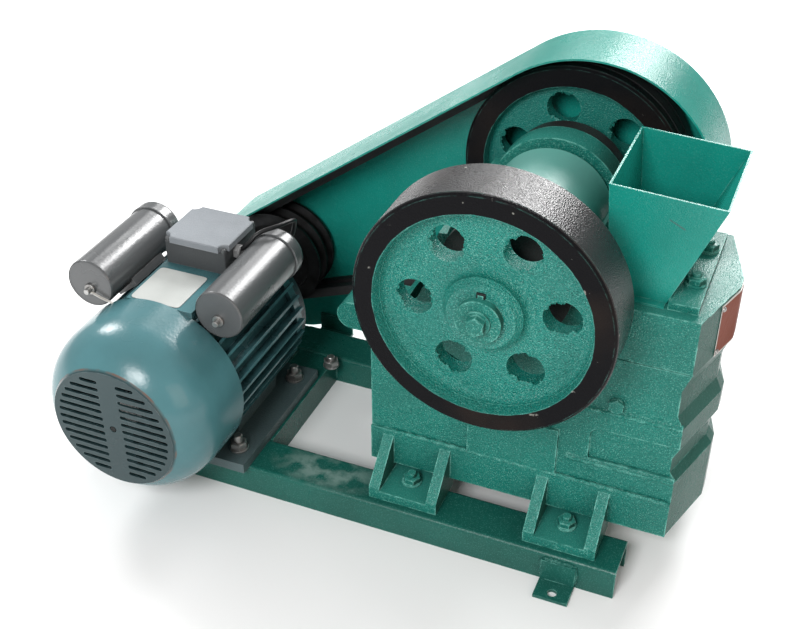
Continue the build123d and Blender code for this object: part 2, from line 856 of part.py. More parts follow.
with BuildPart() as motor_feet:
    for side in (-1, 1):
        mid_x = motor_x + side * foot_hole_x / 2
        with BuildSketch(Plane.XY.offset(rail_height)):
            with Locations((mid_x + side * motor_foot_edge, motor_foot_front_y - 25)):
                Rectangle(motor_foot_width, foot_hole_y + 50,
                          align=(Align.MAX if side > 0 else Align.MIN, Align.MIN))
            with Locations((mid_x, motor_foot_front_y), (mid_x, motor_foot_front_y + foot_hole_y)):
                Circle(6, mode=Mode.SUBTRACT)
        extrude(amount=motor_foot_thickness)
    for side in (-1, 1):
        with BuildSketch(Plane(origin=(motor_x, motor_foot_front_y + foot_hole_y - 24, 0),
                               x_dir=(1, 0, 0), z_dir=(0, -1, 0))):
            with BuildLine():
                Polyline((side * 26, rail_height + motor_foot_thickness - 2),
                         (side * 66, rail_height + motor_foot_thickness - 2),
                         (side * 74, motor_z - 30), (side * 60, motor_z - 30), close=True)
            make_face()
            with Locations((0, motor_z)):
                Circle(stator_r + fin_height, mode=Mode.SUBTRACT)
        extrude(amount=foot_hole_y - 48)
finish(motor_feet, "motor_feet")

shield_end = stator_front_y + shield_length
with BuildPart() as end_shield:
    with BuildSketch(motor_plane):
        with BuildLine():
            Polyline((stator_front_y, motor_shaft_r + 2), (stator_front_y, shield_r),
                     (stator_front_y + 10, shield_r), (shield_end - 6, 50),
                     (shield_end, 34), (shield_end, motor_shaft_r + 2), close=True)
        make_face()
    revolve(axis=motor_axis)
finish(end_shield, "end_shield")

with BuildPart() as fan_cover:
    with BuildSketch(motor_plane):
        with BuildLine():
            Line((cover_face_y, 0), (cover_face_y, cover_face_r))
            Line((cover_face_y, cover_face_r), (cover_face_y + 3, cover_face_r + 2))
            Spline((cover_face_y + 3, cover_face_r + 2), (cover_face_y + 20, cover_big_r - 10),
                   (cover_face_y + cover_shoulder, cover_big_r))
            Line((cover_face_y + cover_shoulder, cover_big_r), (cover_end_y, cover_big_r))
            Line((cover_end_y, cover_big_r), (cover_end_y, cover_big_r - cover_wall))
            Line((cover_end_y, cover_big_r - cover_wall),
                 (cover_face_y + cover_shoulder, cover_big_r - cover_wall))
            Spline((cover_face_y + cover_shoulder, cover_big_r - cover_wall),
                   (cover_face_y + 21, cover_big_r - 10 - cover_wall),
                   (cover_face_y + 3 + cover_wall, cover_face_r + 2 - cover_wall))
            Line((cover_face_y + 3 + cover_wall, cover_face_r + 2 - cover_wall),
                 (cover_face_y + cover_wall, cover_face_r - cover_wall))
            Line((cover_face_y + cover_wall, cover_face_r - cover_wall),
                 (cover_face_y + cover_wall, 0))
            Line((cover_face_y + cover_wall, 0), (cover_face_y, 0))
        make_face()
    revolve(axis=motor_axis)
    with BuildSketch(Plane(origin=(motor_x, cover_face_y + 5, motor_z), x_dir=(1, 0, 0),
                           z_dir=(0, -1, 0))):
        for row in range(slot_rows):
            level = (row - (slot_rows - 1) / 2) * slot_pitch
            reach = sqrt((cover_face_r - 6) ** 2 - level ** 2)
            for side in (-1, 1):
                with Locations((side * (slot_gap_half + reach) / 2, level)):
                    SlotOverall(reach - slot_gap_half, slot_height)
        Circle(4)
    extrude(amount=10, mode=Mode.SUBTRACT)
finish(fan_cover, "fan_cover")

# motor rotor: shaft, fan and pulley
with BuildPart() as motor_shaft:
    with BuildSketch(Plane(origin=(motor_x, motor_shaft_end, motor_z), x_dir=(1, 0, 0),
                           z_dir=(0, -1, 0))):
        Circle(motor_shaft_r)
    extrude(amount=motor_shaft_end - fan_front_y)
finish(motor_shaft, "motor_shaft")

with BuildPart() as cooling_fan:
    fan_plane = Plane(origin=(motor_x, fan_front_y + fan_depth, motor_z), x_dir=(1, 0, 0),
                      z_dir=(0, -1, 0))
    with BuildSketch(fan_plane):
        Circle(fan_disc_r)
    extrude(amount=fan_wall)
    with BuildSketch(fan_plane):
        Circle(fan_hub_r)
        with PolarLocations((fan_hub_r + fan_r) / 2 - 1, fan_blades):
            Rectangle(fan_r - fan_hub_r + 2, fan_wall)
    extrude(amount=fan_depth)
    with BuildSketch(fan_plane):
        Circle(motor_shaft_r)
    extrude(amount=fan_depth, mode=Mode.SUBTRACT)
finish(cooling_fan, "cooling_fan")

with BuildPart() as motor_pulley:
    with BuildSketch(motor_plane):
        with BuildLine():
            Polyline((pulley_low_y, motor_shaft_r), (pulley_low_y, pulley_hub_r),
                     (pulley_low_y + 10, pulley_hub_r), (pulley_low_y + 10, pulley_r - 18),
                     (pulley_low_y, pulley_r - 16), (pulley_low_y, pulley_r),
                     (pulley_low_y + pulley_width, pulley_r),
                     (pulley_low_y + pulley_width, motor_shaft_r), close=True)
        make_face()
    revolve(axis=motor_axis)
    for line_y in groove_lines:
        with BuildSketch(motor_plane):
            with BuildLine():
                groove(line_y, pulley_r)
            make_face()
        revolve(axis=motor_axis, mode=Mode.SUBTRACT)
finish(motor_pulley, "motor_pulley")

# terminal box and its lid
with BuildPart() as terminal_box:
    with BuildSketch(Plane.XY.offset(top_pad_z)):
        with Locations((motor_x + box_mid_x, box_mid_y)):
            Rectangle(box_x, box_y)
    extrude(amount=box_top - lid_height - top_pad_z)
    fillet(terminal_box.edges().filter_by(Axis.Z), 2)
finish(terminal_box, "terminal_box")

with BuildPart() as terminal_lid:
    with BuildSketch(Plane.XY.offset(box_top - lid_height)):
        with Locations((motor_x + box_mid_x, box_mid_y)):
            Rectangle(box_x + 3, box_y + 3)
            with GridLocations(box_x + 3, box_y + 3, 2, 2):
                Circle(lid_notch, mode=Mode.SUBTRACT)
    extrude(amount=lid_height)
    chamfer(terminal_lid.faces().sort_by(Axis.Z)[-1].edges(), 1)
finish(terminal_lid, "terminal_lid")

# capacitors: cans with a ringed cap at the rear end
for name, side in (("near", 1), ("far", -1)):
    can_x = motor_x + side * can_offset
    with BuildPart() as can:
        with BuildSketch(Plane(origin=(can_x, can_back_y, can_z), x_dir=(1, 0, 0),
                               z_dir=(0, -1, 0))):
            Circle(can_r)
        extrude(amount=can_back_y - can_front_y)
        fillet(can.edges().sort_by(Axis.Y)[0], 2)
    finish(can, f"{name}_capacitor")
    with BuildPart() as cap:
        with BuildSketch(Plane(origin=(can_x, can_back_y + can_cap_length, can_z),
                               x_dir=(1, 0, 0), z_dir=(0, -1, 0))):
            Circle(can_r + 1.5)
        extrude(amount=can_cap_length)
        fillet(cap.edges().sort_by(Axis.Y)[-1], 6)
    finish(cap, f"{name}_capacitor_cap")

# a cradle under each can, with its foot on the fins of the motor
with BuildPart() as capacitor_brackets:
    for side in (1, -1):
        can_x = motor_x + side * can_offset
        toward = Vector(motor_x - can_x, 0, motor_z - can_z)
        foot_length = toward.length - can_r - stator_r - fin_height
        cradle_plane = Plane(origin=Vector(can_x, strap_y, can_z), x_dir=(0, 1, 0),
                             z_dir=toward.normalized())
        with BuildSketch(cradle_plane.offset(can_r - strap_sink)):
            with Locations((strap_width / 2, 0)):
                Rectangle(strap_width, strap_foot)
        extrude(amount=strap_sink + foot_length)
        with BuildSketch(side_plane(strap_y + strap_width)):
            with Locations((can_x, can_z)):
                Circle(can_r)
        extrude(amount=strap_width, mode=Mode.SUBTRACT)
finish(capacitor_brackets, "capacitor_brackets")

# cable gland on the side of the terminal box, and the lead to the nearer capacitor
box_side_x = motor_x + box_mid_x + box_x / 2
with BuildPart() as cable_gland:
    gland_plane = Plane(origin=(box_side_x, gland_y, gland_z), z_dir=(1, 0, 0))
    with BuildSketch(gland_plane):
        RegularPolygon(gland_r, 6)
    extrude(amount=gland_nut)
    with BuildSketch(gland_plane.offset(gland_nut)):
        Circle(gland_r - 1.5)
    extrude(amount=gland_length - gland_nut)
    fillet(cable_gland.faces().sort_by(Axis.X)[-1].edges(), 2)
finish(cable_gland, "cable_gland")

lead_start = (box_side_x + gland_length, gland_y, gland_z + 4)
lead_end = (motor_x + can_offset, can_back_y + can_cap_length, can_z)
lead_radii = (10, 14, 18, 14, 12, 10)
with BuildPart() as capacitor_lead:
    with BuildLine() as route:
        FilletPolyline(lead_start, (-145.5, -33, 260), (-137, -24, 273), (-120, -8, 276),
                       (-113, 16, 273), (-119, 30, 262), (-125, 31, 238), lead_end,
                       radius=lead_radii)
    with BuildSketch(Plane(origin=route.line @ 0, z_dir=route.line % 0)):
        Circle(lead_r)
    sweep(path=route.wire())
    # trimmed where it leaves the gland
    add(cable_gland.part, mode=Mode.SUBTRACT)
print("lead radii", lead_radii)
finish(capacitor_lead, "capacitor_lead")
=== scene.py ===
# %% [markdown]
# # A small jaw crusher, dressed for its picture
#
# The frame holds every solid of the machine at its real place. This script gives each
# solid its finish, adds the small fasteners, beads and plates, and sets the camera and
# the lights. +X points to the discharge end, +Y to the belts and +Z up.

# %% Load the frame
import json
from math import cos, pi, radians, sin, tau

import bpy
import numpy as np
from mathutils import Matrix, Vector

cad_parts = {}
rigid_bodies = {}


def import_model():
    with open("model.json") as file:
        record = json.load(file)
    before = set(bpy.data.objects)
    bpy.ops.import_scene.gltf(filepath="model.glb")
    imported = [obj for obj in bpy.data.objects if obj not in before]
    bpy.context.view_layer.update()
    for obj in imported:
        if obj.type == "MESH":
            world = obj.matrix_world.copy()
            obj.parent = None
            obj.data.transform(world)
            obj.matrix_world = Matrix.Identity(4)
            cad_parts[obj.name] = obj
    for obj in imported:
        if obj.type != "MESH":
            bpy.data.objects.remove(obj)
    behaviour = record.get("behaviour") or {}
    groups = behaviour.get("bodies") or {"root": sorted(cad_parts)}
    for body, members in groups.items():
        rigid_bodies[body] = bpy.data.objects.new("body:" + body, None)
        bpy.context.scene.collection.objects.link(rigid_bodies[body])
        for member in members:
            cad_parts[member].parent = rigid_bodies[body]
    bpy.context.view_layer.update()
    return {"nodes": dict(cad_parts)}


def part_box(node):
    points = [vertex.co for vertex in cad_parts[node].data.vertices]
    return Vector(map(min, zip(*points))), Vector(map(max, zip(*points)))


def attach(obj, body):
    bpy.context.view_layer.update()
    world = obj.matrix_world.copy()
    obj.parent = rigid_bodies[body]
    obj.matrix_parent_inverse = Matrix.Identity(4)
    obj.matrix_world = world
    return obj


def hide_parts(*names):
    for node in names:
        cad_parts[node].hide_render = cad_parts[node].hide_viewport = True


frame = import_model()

nodes = frame["nodes"]

# %% [markdown]
# ## Places that several cells use
#
# The two shafts lie along Y, and everything that turns is measured from them. Sizes are
# written in millimetres, as on a drawing, and turned into Blender's metres by one factor.
# The fixed faces come next: the cast body's side, the rails' top and the feet's top.

# %% Shafts, faces and directions
MM = 0.001
CRANK = np.array([172, 0, 338]) * MM
MOTOR = np.array([-204, 0, 136]) * MM
SHAFT_Z = 338
BODY_HALF = 85
RAIL_TOP = 36
FOOT_TOP = 47
UP, NEAR, FAR = (0, 0, 1), (0, -1, 0), (0, 1, 0)
SIDES = ((-1, "near"), (1, "far"))
print("shafts at", CRANK, "and", MOTOR)

# %% [markdown]
# ## The camera
#
# The picture was taken from the front left, well above the machine. A camera could be
# placed by eye, but then no later comparison can be trusted. Here the ground line of both
# rails and the round outlines of the wheels fix its height, its distance and its lens.

# %% Camera
PHOTO_WIDTH = 800
FOCAL_PIXELS = 1200
SENSOR = 36
azimuth, elevation = radians(22.54), radians(34.58)

camera = bpy.data.objects.new("camera", bpy.data.cameras.new("camera"))
bpy.context.collection.objects.link(camera)
camera.data.sensor_width = SENSOR
camera.data.lens = SENSOR * FOCAL_PIXELS / PHOTO_WIDTH
camera.data.clip_start = 0.01
camera.location = (0.4419, -1.0121, 0.9457)
camera.rotation_euler = (pi / 2 - elevation, 0, azimuth)
bpy.context.scene.camera = camera
print("lens", camera.data.lens)

# %% [markdown]
# ## Surfaces from a formula
#
# Every added piece is a grid of points. A function gives the point for each pair of
# parameters between 0 and 1, and neighbouring points are joined into four-sided faces.
# Primitives and modifiers could give bolts and beads too, but a formula keeps each shape
# in one place, and all its points are worked out at once as arrays.

# %% Grid maker
SHARP = radians(32)


def unit(v):
    v = np.asarray(v, float)
    return v / np.linalg.norm(v)


def axes_about(axis):
    """Two directions at right angles to an axis and to each other."""
    axis = unit(axis)
    other = (0, 0, 1) if abs(axis[2]) < 0.9 else (1, 0, 0)
    first = unit(np.cross(other, axis))
    return first, np.cross(axis, first)


def shade(mesh):
    """Smooth shading, with the sharp edges kept crisp."""
    mesh.polygons.foreach_set("use_smooth", np.ones(len(mesh.polygons), bool))
    mesh.set_sharp_from_angle(angle=SHARP)


def grid_piece(name, point, across, along, body, finish, ring=True):
    """A piece whose points are point(u, v). With a ring, u runs round it and its last
    column joins the first one. The parameter v runs along it."""
    u = np.linspace(0, 1, across, endpoint=not ring)
    v = np.linspace(0, 1, along)
    gu, gv = np.meshgrid(u, v, indexing="ij")
    points = np.stack(np.broadcast_arrays(*point(gu, gv)), axis=-1).reshape(-1, 3)
    i, j = np.meshgrid(np.arange(across if ring else across - 1), np.arange(along - 1),
                       indexing="ij")
    here, there = i * along + j, (i + 1) % across * along + j
    faces = np.stack([here, there, there + 1, here + 1], axis=-1).reshape(-1, 4)
    mesh = bpy.data.meshes.new(name)
    mesh.from_pydata(points.tolist(), [], faces.tolist())
    shade(mesh)
    piece = bpy.data.objects.new(name, mesh)
    bpy.context.collection.objects.link(piece)
    piece["finish"] = finish
    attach(piece, body)
    return piece


print("grid maker ready")

# %% [markdown]
# ## Turned pieces and hexagon heads
#
# Nuts, washers, studs and rings come off a lathe, so each is a short profile turned about
# an axis. A hexagon is turned as well: its radius swells towards each corner. So a washer,
# a head and a stud's end are one closed surface, as they look under paint.

# %% Lathe and hexagon
def turned(name, profile, at, axis, body, finish, flats=0, around=40):
    """A lathe-turned piece: each row of the profile is a radius and a height above its
    seat, and a third value marks a row with flats. The radius of such a row is the
    distance to the flat divided by the cosine of the angle from the flat's middle. A
    profile that runs clockwise, so that its area comes out negative, is read backwards,
    and the faces then point outwards."""
    first, second = axes_about(axis)
    axis = unit(axis)
    rows = np.array([(r, h) for r, h, *_ in profile]) * MM
    flat = np.array([len(row) > 2 for row in profile], float)
    following = np.roll(rows, -1, axis=0)
    if np.sum(rows[:, 0] * following[:, 1] - following[:, 0] * rows[:, 1]) < 0:
        rows, flat = rows[::-1], flat[::-1]
    at = np.asarray(at, float)

    def point(u, v):
        angle = u * tau
        row = np.rint(v * (len(rows) - 1)).astype(int)
        radius, height, hexed = rows[row, 0], rows[row, 1], flat[row]
        if flats:
            step = tau / flats
            off = (angle + step / 2) % step - step / 2
            radius = radius * (1 + hexed * (1 / np.cos(off) - 1))
        return [at[k] + radius * (np.cos(angle) * first[k] + np.sin(angle) * second[k])
                + height * axis[k] for k in range(3)]

    around = flats * 8 if flats else around
    return grid_piece(name, point, around, len(profile), body, finish)


def hex_head(name, at, axis, body, finish, across=17, height=7, washer=11, stud=0):
    """A washer, a hexagon with its corners turned off, and a stud's end where given."""
    flat = across / 2
    profile = [(0, 0), (washer, 0), (washer, 1.6), (washer - 0.6, 2), (flat, 2, 1),
               (flat, 1.2 + height, 1), (flat * 0.93, 2 + height)]
    if stud:
        profile += [(5, 2 + height), (5, 2 + height + stud - 1), (4.2, 2 + height + stud)]
    profile += [(0, profile[-1][1])]
    return turned(name, profile, at, axis, body, finish, flats=6)


print("lathe ready")

# %% [markdown]
# ## Wheel fasteners
#
# A washer and one hexagon bolt in the shaft's end hold each wheel. A key shows beside the
# washer, in its slot in the hub. The key could be a bevelled cube. A superellipse gives
# the same rounded block from one formula, and the dark block behind it, painted shade
# standing for the slot's gap, is a second one.

# %% Wheel bolts and key
def slab(name, low, high, body, finish, soft=0.0006):
    """A block with rounded edges. Each face is a superellipse: both half widths are scaled
    by the cosine and sine to the power 2/n, which fills the corners as n grows."""
    low, high = np.asarray(low, float), np.asarray(high, float)
    middle, half = (low + high) / 2, (high - low) / 2
    thin = int(np.argmin(half))
    wide = (thin + 1) % 3, (thin + 2) % 3
    power = 2 / 14

    def point(u, v):
        angle = u * tau
        row = np.rint(v * 5).astype(int)
        inset = np.array([half.max() * 2, soft, 0, 0, soft, half.max() * 2])[row]
        level = np.array([-1, -1, -1 + soft / half[thin], 1 - soft / half[thin], 1, 1])[row]
        c, s = np.cos(angle), np.sin(angle)
        out = [None] * 3
        for k, value in zip(wide, (np.sign(c) * np.abs(c) ** power,
                                   np.sign(s) * np.abs(s) ** power)):
            out[k] = middle[k] + value * np.maximum(half[k] - inset, 0)
        out[thin] = middle[thin] + level * half[thin]
        return out

    return grid_piece(name, point, 64, 6, body, finish)


near_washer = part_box("near_end_washer")
far_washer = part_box("far_end_washer")
hex_head("near_crank_bolt", (CRANK[0], near_washer[0][1], CRANK[2]), NEAR, "crank",
         "green_cast", height=7.5, washer=12.5)
hex_head("far_crank_bolt", (CRANK[0], far_washer[1][1], CRANK[2]), FAR, "crank",
         "green_cast", height=6, washer=12.5)
# The dark block is painted shade standing for the gap of the key's slot
slab("wheel_key_slot", CRANK + np.array([-4.2, -178.2, 21.5]) * MM,
     CRANK + np.array([4.2, -175, 27]) * MM, "crank", "painted_gap_shade")
slab("wheel_key", CRANK + np.array([-2.8, -178.4, 21]) * MM,
     CRANK + np.array([2.8, -175, 25.4]) * MM, "crank", "green_cast", soft=0.0003)
print("wheel fasteners done")

# %% [markdown]
# ## Bolts of the base, the clamp strip and the motor
#
# The crusher's four feet are bolted to the rails and painted over with them. The motor
# came later: its bolts are bare steel and stand well out of their nuts. The same hexagon
# serves for all, in loops over the places of the feet.

# %% Bolts
FOOT_X, FOOT_Y = (78, 253), 101
MOTOR_FOOT_X, MOTOR_FOOT_Y = (-284, -124), (-125, 15)
MOTOR_FOOT_TOP = 48

for x in FOOT_X:
    for side, tag in SIDES:
        hex_head(f"foot_bolt_{tag}_{x}", (x * MM, side * FOOT_Y * MM, FOOT_TOP * MM), UP,
                 "base", "green_cast", height=6.5, washer=11, stud=5)
for x in MOTOR_FOOT_X:
    for y, (_, tag) in zip(MOTOR_FOOT_Y, SIDES):
        hex_head(f"motor_bolt_{-x}_{tag}", (x * MM, y * MM, MOTOR_FOOT_TOP * MM), UP, "base",
                 "bare_steel", height=8, washer=11, stud=9)
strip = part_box("clamp_strip")
for y, (_, tag) in zip((-32, 34), SIDES):
    hex_head(f"strip_bolt_{tag}", (336 * MM, y * MM, strip[1][2]), UP, "base", "green_cast",
             height=6.5, washer=10.5, stud=4)
hex_head("side_bolt", (287 * MM, -BODY_HALF * MM, 207 * MM), NEAR, "base", "green_cast",
         across=15, height=3.5, washer=8)
hex_head("member_nut", (-101 * MM, 70 * MM, RAIL_TOP * MM), UP, "base", "bare_steel",
         height=7, washer=10, stud=5)
print("bolts done")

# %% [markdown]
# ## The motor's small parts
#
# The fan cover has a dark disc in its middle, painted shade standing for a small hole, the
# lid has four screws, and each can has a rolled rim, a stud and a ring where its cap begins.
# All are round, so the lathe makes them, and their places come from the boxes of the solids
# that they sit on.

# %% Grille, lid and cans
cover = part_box("fan_cover")
# The dark disc is painted shade standing for the small hole in the grille's middle
turned("grille_middle", [(3.2, -0.3), (3, 0.1), (0, 0.1)], (MOTOR[0], cover[0][1], MOTOR[2]),
       NEAR, "base", "painted_gap_shade")

SCREW_INSET, SCREW_DROP = 4.5 * MM, 2.5 * MM
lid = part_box("terminal_lid")
for i, x in enumerate((lid[0][0] + SCREW_INSET, lid[1][0] - SCREW_INSET)):
    for j, y in enumerate((lid[0][1] + SCREW_INSET, lid[1][1] - SCREW_INSET)):
        turned(f"lid_screw_{i}{j}", [(0, 2.1), (2, 2), (2.8, 1.2), (3, 0), (3, -4)],
               (x, y, lid[0][2] + SCREW_DROP), UP, "base", "can_paint", around=20)

STUD_DROP = 6
for name in ("near", "far"):
    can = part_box(f"{name}_capacitor")
    x, z = (can[0][0] + can[1][0]) / 2, (can[0][2] + can[1][2]) / 2
    turned(f"{name}_can_rim", [(27.2, 0.2), (27.6, -0.6), (27, -1.6), (25.6, -1.6), (25, -0.6),
                               (24.6, 0.1)], (x, can[0][1], z), NEAR, "base", "can_paint")
    turned(f"{name}_can_stud", [(0, 9), (3, 9), (3.4, 8.4), (3.4, 3.2), (6, 3), (6.4, 2.4),
                                (6.4, 0)], (x, can[0][1], z - STUD_DROP * MM), NEAR, "base",
           "bare_steel", around=24)
    turned(f"{name}_cap_ring", [(28.2, 0), (29.9, 0.4), (30, 1.6), (29.9, 2.8), (28.2, 3.2)],
           (x, can[1][1], z), NEAR, "base", "can_paint")
print("grille, lid and cans done")

# %% [markdown]
# ## The strap on the farther can
#
# A thin bright strip runs from the farther can's stud down to the motor. It is bent by
# hand, so it is a flat section carried along a line that sags a little in the middle.

# %% Strap
STRAP_END = (-246, -140, 221)
STRAP_SAG = 2.5


def strap(name, start, end, width, thick, body, finish):
    """A thin flat strip between two points. Its height falls by a parabola of the distance
    from both ends."""
    start, end = np.asarray(start, float) * MM, np.asarray(end, float) * MM
    first, second = axes_about(end - start)

    def point(u, v):
        row = np.rint(u * 4).astype(int) % 4
        side = np.array([-1, 1, 1, -1])[row] * width / 2 * MM
        level = np.array([-1, -1, 1, 1])[row] * thick / 2 * MM
        sag = STRAP_SAG * MM * 4 * v * (1 - v)
        return [start[k] + (end[k] - start[k]) * v + side * first[k] + level * second[k]
                - (sag if k == 2 else 0) for k in range(3)]

    return grid_piece(name, point, 4, 13, body, finish)


far_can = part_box("far_capacitor")
stud = ((far_can[0][0] + far_can[1][0]) / 2 / MM, far_can[0][1] / MM - 4,
        (far_can[0][2] + far_can[1][2]) / 2 / MM - STUD_DROP)
strap("can_strap", stud, STRAP_END, 3, 0.8, "base", "plate_rim")
print("strap done")

# %% [markdown]
# ## Weld beads and cast lips
#
# A weld bead is a rope of metal whose size swells with every stop of the torch. Sculpting
# would give one bead, and a tube with a wavy radius gives all of them. The same uneven
# tube lies along the ledges and the flange of the cast body, which came from the mould
# with thick rounded lips.

# %% Bead maker
STOP_LENGTH = 3.2


def bead(name, start, end, size, finish="green_steel"):
    """A tube from start to end. Its radius rises and falls by a fifth, about three times
    in a centimetre of run, its middle wanders by a sine, and both ends narrow to a point."""
    start, end = np.asarray(start, float) * MM, np.asarray(end, float) * MM
    run = np.linalg.norm(end - start)
    first, second = axes_about(end - start)
    waves = max(4, int(run / (STOP_LENGTH * MM)))

    def point(u, v):
        ends = np.minimum(1, np.minimum(v, 1 - v) * run / (2 * size * MM))
        radius = size * MM * np.sqrt(ends) * (1 + 0.22 * np.abs(np.sin(v * waves * pi)))
        wander = 0.25 * size * MM * np.sin(v * waves * 1.7 + 1)
        return [start[k] + (end[k] - start[k]) * v
                + radius * np.cos(u * tau) * first[k]
                + (radius * np.sin(u * tau) + wander) * second[k] for k in range(3)]

    return grid_piece(name, point, 10, waves * 4 + 1, "base", finish)


# %% Lips of the cast body
LEDGE_DROPS, FLANGE_DROP = (142, 211), 238.5
LEDGE_START, FLANGE_START, LIP_END = 244, 48, 352

for side, tag in SIDES:
    for drop in LEDGE_DROPS:
        y, z = side * (BODY_HALF + 1.4), SHAFT_Z - drop
        bead(f"ledge_lip_{tag}_{drop}", (LEDGE_START, y, z), (LIP_END, y, z), 1.7, "green_cast")
    y, z = side * (BODY_HALF + 2), SHAFT_Z - FLANGE_DROP
    bead(f"flange_lip_{tag}", (FLANGE_START, y, z), (LIP_END, y, z), 1.8, "green_cast")
print("lips done")

# %% Welds of the base
RAIL_FACE = 86
TAB_X, TAB_Y, TAB_HALF, TAB_TOP = 258, 139, 18.5, 30.5

for name in ("inner", "outer"):
    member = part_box(f"{name}_cross_member")
    low, high = member[0][0] / MM, member[1][0] / MM
    for side in (-1, 1):
        y = side * RAIL_FACE
        for x, end in ((low, "left"), (high, "right")):
            bead(f"{name}_weld_{end}_{side + 1}", (x, y, 4), (x, y, RAIL_TOP - 2), 1.8)
        bead(f"{name}_weld_top_{side + 1}", (low + 3, y, RAIL_TOP), (high - 3, y, RAIL_TOP), 1.3)
for sx in (-1, 1):
    for sy in (-1, 1):
        x, y = sx * TAB_X, sy * TAB_Y + sy
        tag = f"{sx + 1}{sy + 1}"
        for edge, end in ((-TAB_HALF, "left"), (TAB_HALF, "right")):
            bead(f"tab_weld_{end}_{tag}", (x + edge, y, 6), (x + edge, y, TAB_TOP - 1.5), 2)
        bead(f"tab_weld_top_{tag}", (x - 17, y, TAB_TOP), (x + 17, y, TAB_TOP), 2)
print("welds done")

# %% [markdown]
# ## Bare plates
#
# One small sheet plate is screwed round the crest of the crusher's nose, and one lies on
# the motor's pad. Both stay bare. The first could be a plane bent by a modifier. It is
# quicker to read the nose's own outline and to lay the sheet over it at a small lift.

# %% Plates
NOSE_FLAT, NOSE_CREST, CREST_HALF = 353, 376, 8
PLATE_SCREW_Y, PLATE_SCREW_Z = 41, (264.5, 313.5)
PAD_TOP = 232


def nose_x(y):
    """The nose's face at a distance y from the middle, both in millimetres."""
    slope = (NOSE_CREST - NOSE_FLAT) / (BODY_HALF - CREST_HALF)
    return NOSE_CREST - slope * np.maximum(np.abs(y) - CREST_HALF, 0)


def nose_plate(name, half, low, high, lift, finish):
    """A thin sheet round the crest. Across u it follows the nose at the given lift, and
    the first and last rows of v drop back to the nose, so that its edges have thickness."""
    def point(u, v):
        y = -half + 2 * half * u
        row = np.rint(v * 7).astype(int)
        z = np.array([low, low, low + 2, low + 18, high - 18, high - 2, high, high])[row]
        out = np.array([0, 1, 1, 1, 1, 1, 1, 0])[row]
        rise = lift + 0.5 * np.sin(u * pi)
        return (nose_x(y) + out * rise) * MM, y * MM, z * MM

    return grid_piece(name, point, 41, 8, "base", finish, ring=False)


nose_plate("front_plate_edge", 45, 260, 318, 0.5, "plate_rim")
nose_plate("front_plate", 43.4, 261.6, 316.4, 0.7, "plate_brown")
for side, _ in SIDES:
    for level in PLATE_SCREW_Z:
        y = side * PLATE_SCREW_Y
        lean = unit((1, side * 0.3, 0))
        at = np.array([nose_x(y), y, level]) * MM + 0.6 * MM * lean
        turned(f"front_plate_screw_{side + 1}_{int(level)}",
               [(0, 2.2), (1.4, 2), (2.6, 1), (2.9, 0)], at, lean, "base", "bare_steel",
               around=20)
slab("motor_plate", np.array([-235, -136, PAD_TOP]) * MM,
     np.array([-175, -72, PAD_TOP + 0.8]) * MM, "base", "plate_pale", soft=0.0002)
print("plates done")

# %% [markdown]
# ## Flash in the wheels' holes
#
# The holes were cast, not drilled, so a thin ragged fin stands inside each one. Noise
# would move every hole alike. A sum of a few waves with seeded starts makes each hole's
# fin its own, and a clip keeps the teeth short.

# %% Flash
HOLE_CIRCLE, HOLE_R, HOLES = 70.5, 18.5, 6
FLASH_WAVES = (2, 7, 12, 21, 37)


def flash(name, centre, axis, radius, seed, body, finish):
    """A thin ring in a hole. Its inner edge wanders in by a sum of waves round the hole,
    with a few steeper teeth where three of them meet."""
    first, second = axes_about(axis)
    axis, centre = unit(axis), np.asarray(centre, float)
    phase = np.random.default_rng(seed).uniform(0, tau, len(FLASH_WAVES))

    def point(u, v):
        angle = u * tau
        waves = sum(np.sin(k * angle + phase[i]) / (i + 1) for i, k in enumerate(FLASH_WAVES))
        reach = np.clip(1.1 + 1.9 * waves, 0.15, 4.6)
        row = np.rint(v * 4).astype(int)
        inward = np.array([-0.2, 0.7, 1, 0.6, -0.2])[row]
        level = np.array([1.8, 0.8, 0, -0.7, -1.6])[row] * MM
        r = radius - reach * inward * MM
        return [centre[k] + r * (np.cos(angle) * first[k] + np.sin(angle) * second[k])
                + level * axis[k] for k in range(3)]

    return grid_piece(name, point, 160, 5, body, finish)


for wheel, start, y, seed in (("flywheel", 4.5, -156, 0), ("belt_wheel", 44.5, 134, 20)):
    for k in range(HOLES):
        turn = radians(start + 360 / HOLES * k)
        middle = CRANK + np.array([HOLE_CIRCLE * cos(turn), y, HOLE_CIRCLE * sin(turn)]) * MM
        flash(f"{wheel}_flash_{k}", middle, NEAR, HOLE_R * MM, k + seed, "crank",
              f"{wheel}_paint")
print("flash done")

# %% [markdown]
# ## Fillets of the wheels
#
# A casting has no sharp inner corner: a soft hollow fillet leads from the web into the
# rim and into the hub. A bevel on the solid would need its edges picked one by one. A
# quarter circle turned about the shaft covers the corner, in the wheel's own paint.

# %% Fillets
def fillet_ring(name, radius, y, size, outward, finish):
    """A quarter-round hollow fillet where a web meets a wall. The wall stands at the
    radius, outside the web when outward is 1 and inside it when outward is -1."""
    rows = [(radius - outward * size, -1)]
    for step in range(9):
        angle = radians(90 * step / 8)
        rows.append((radius - outward * size * (1 - sin(angle)), size * (1 - cos(angle)) + 0.2))
    rows += [(radius + outward * 1.5, size + 0.2), (radius + outward * 1.5, -1)]
    return turned(name, rows, CRANK + np.array([0, y, 0]) * MM, NEAR, "crank", finish, around=96)


fillet_ring("flywheel_rim_fillet", 101.5, -158, 8, 1, "flywheel_paint")
fillet_ring("flywheel_hub_fillet", 38, -158, 7, -1, "flywheel_paint")
fillet_ring("belt_wheel_rim_fillet", 97.5, 132, 6, 1, "belt_wheel_paint")
print("fillets done")
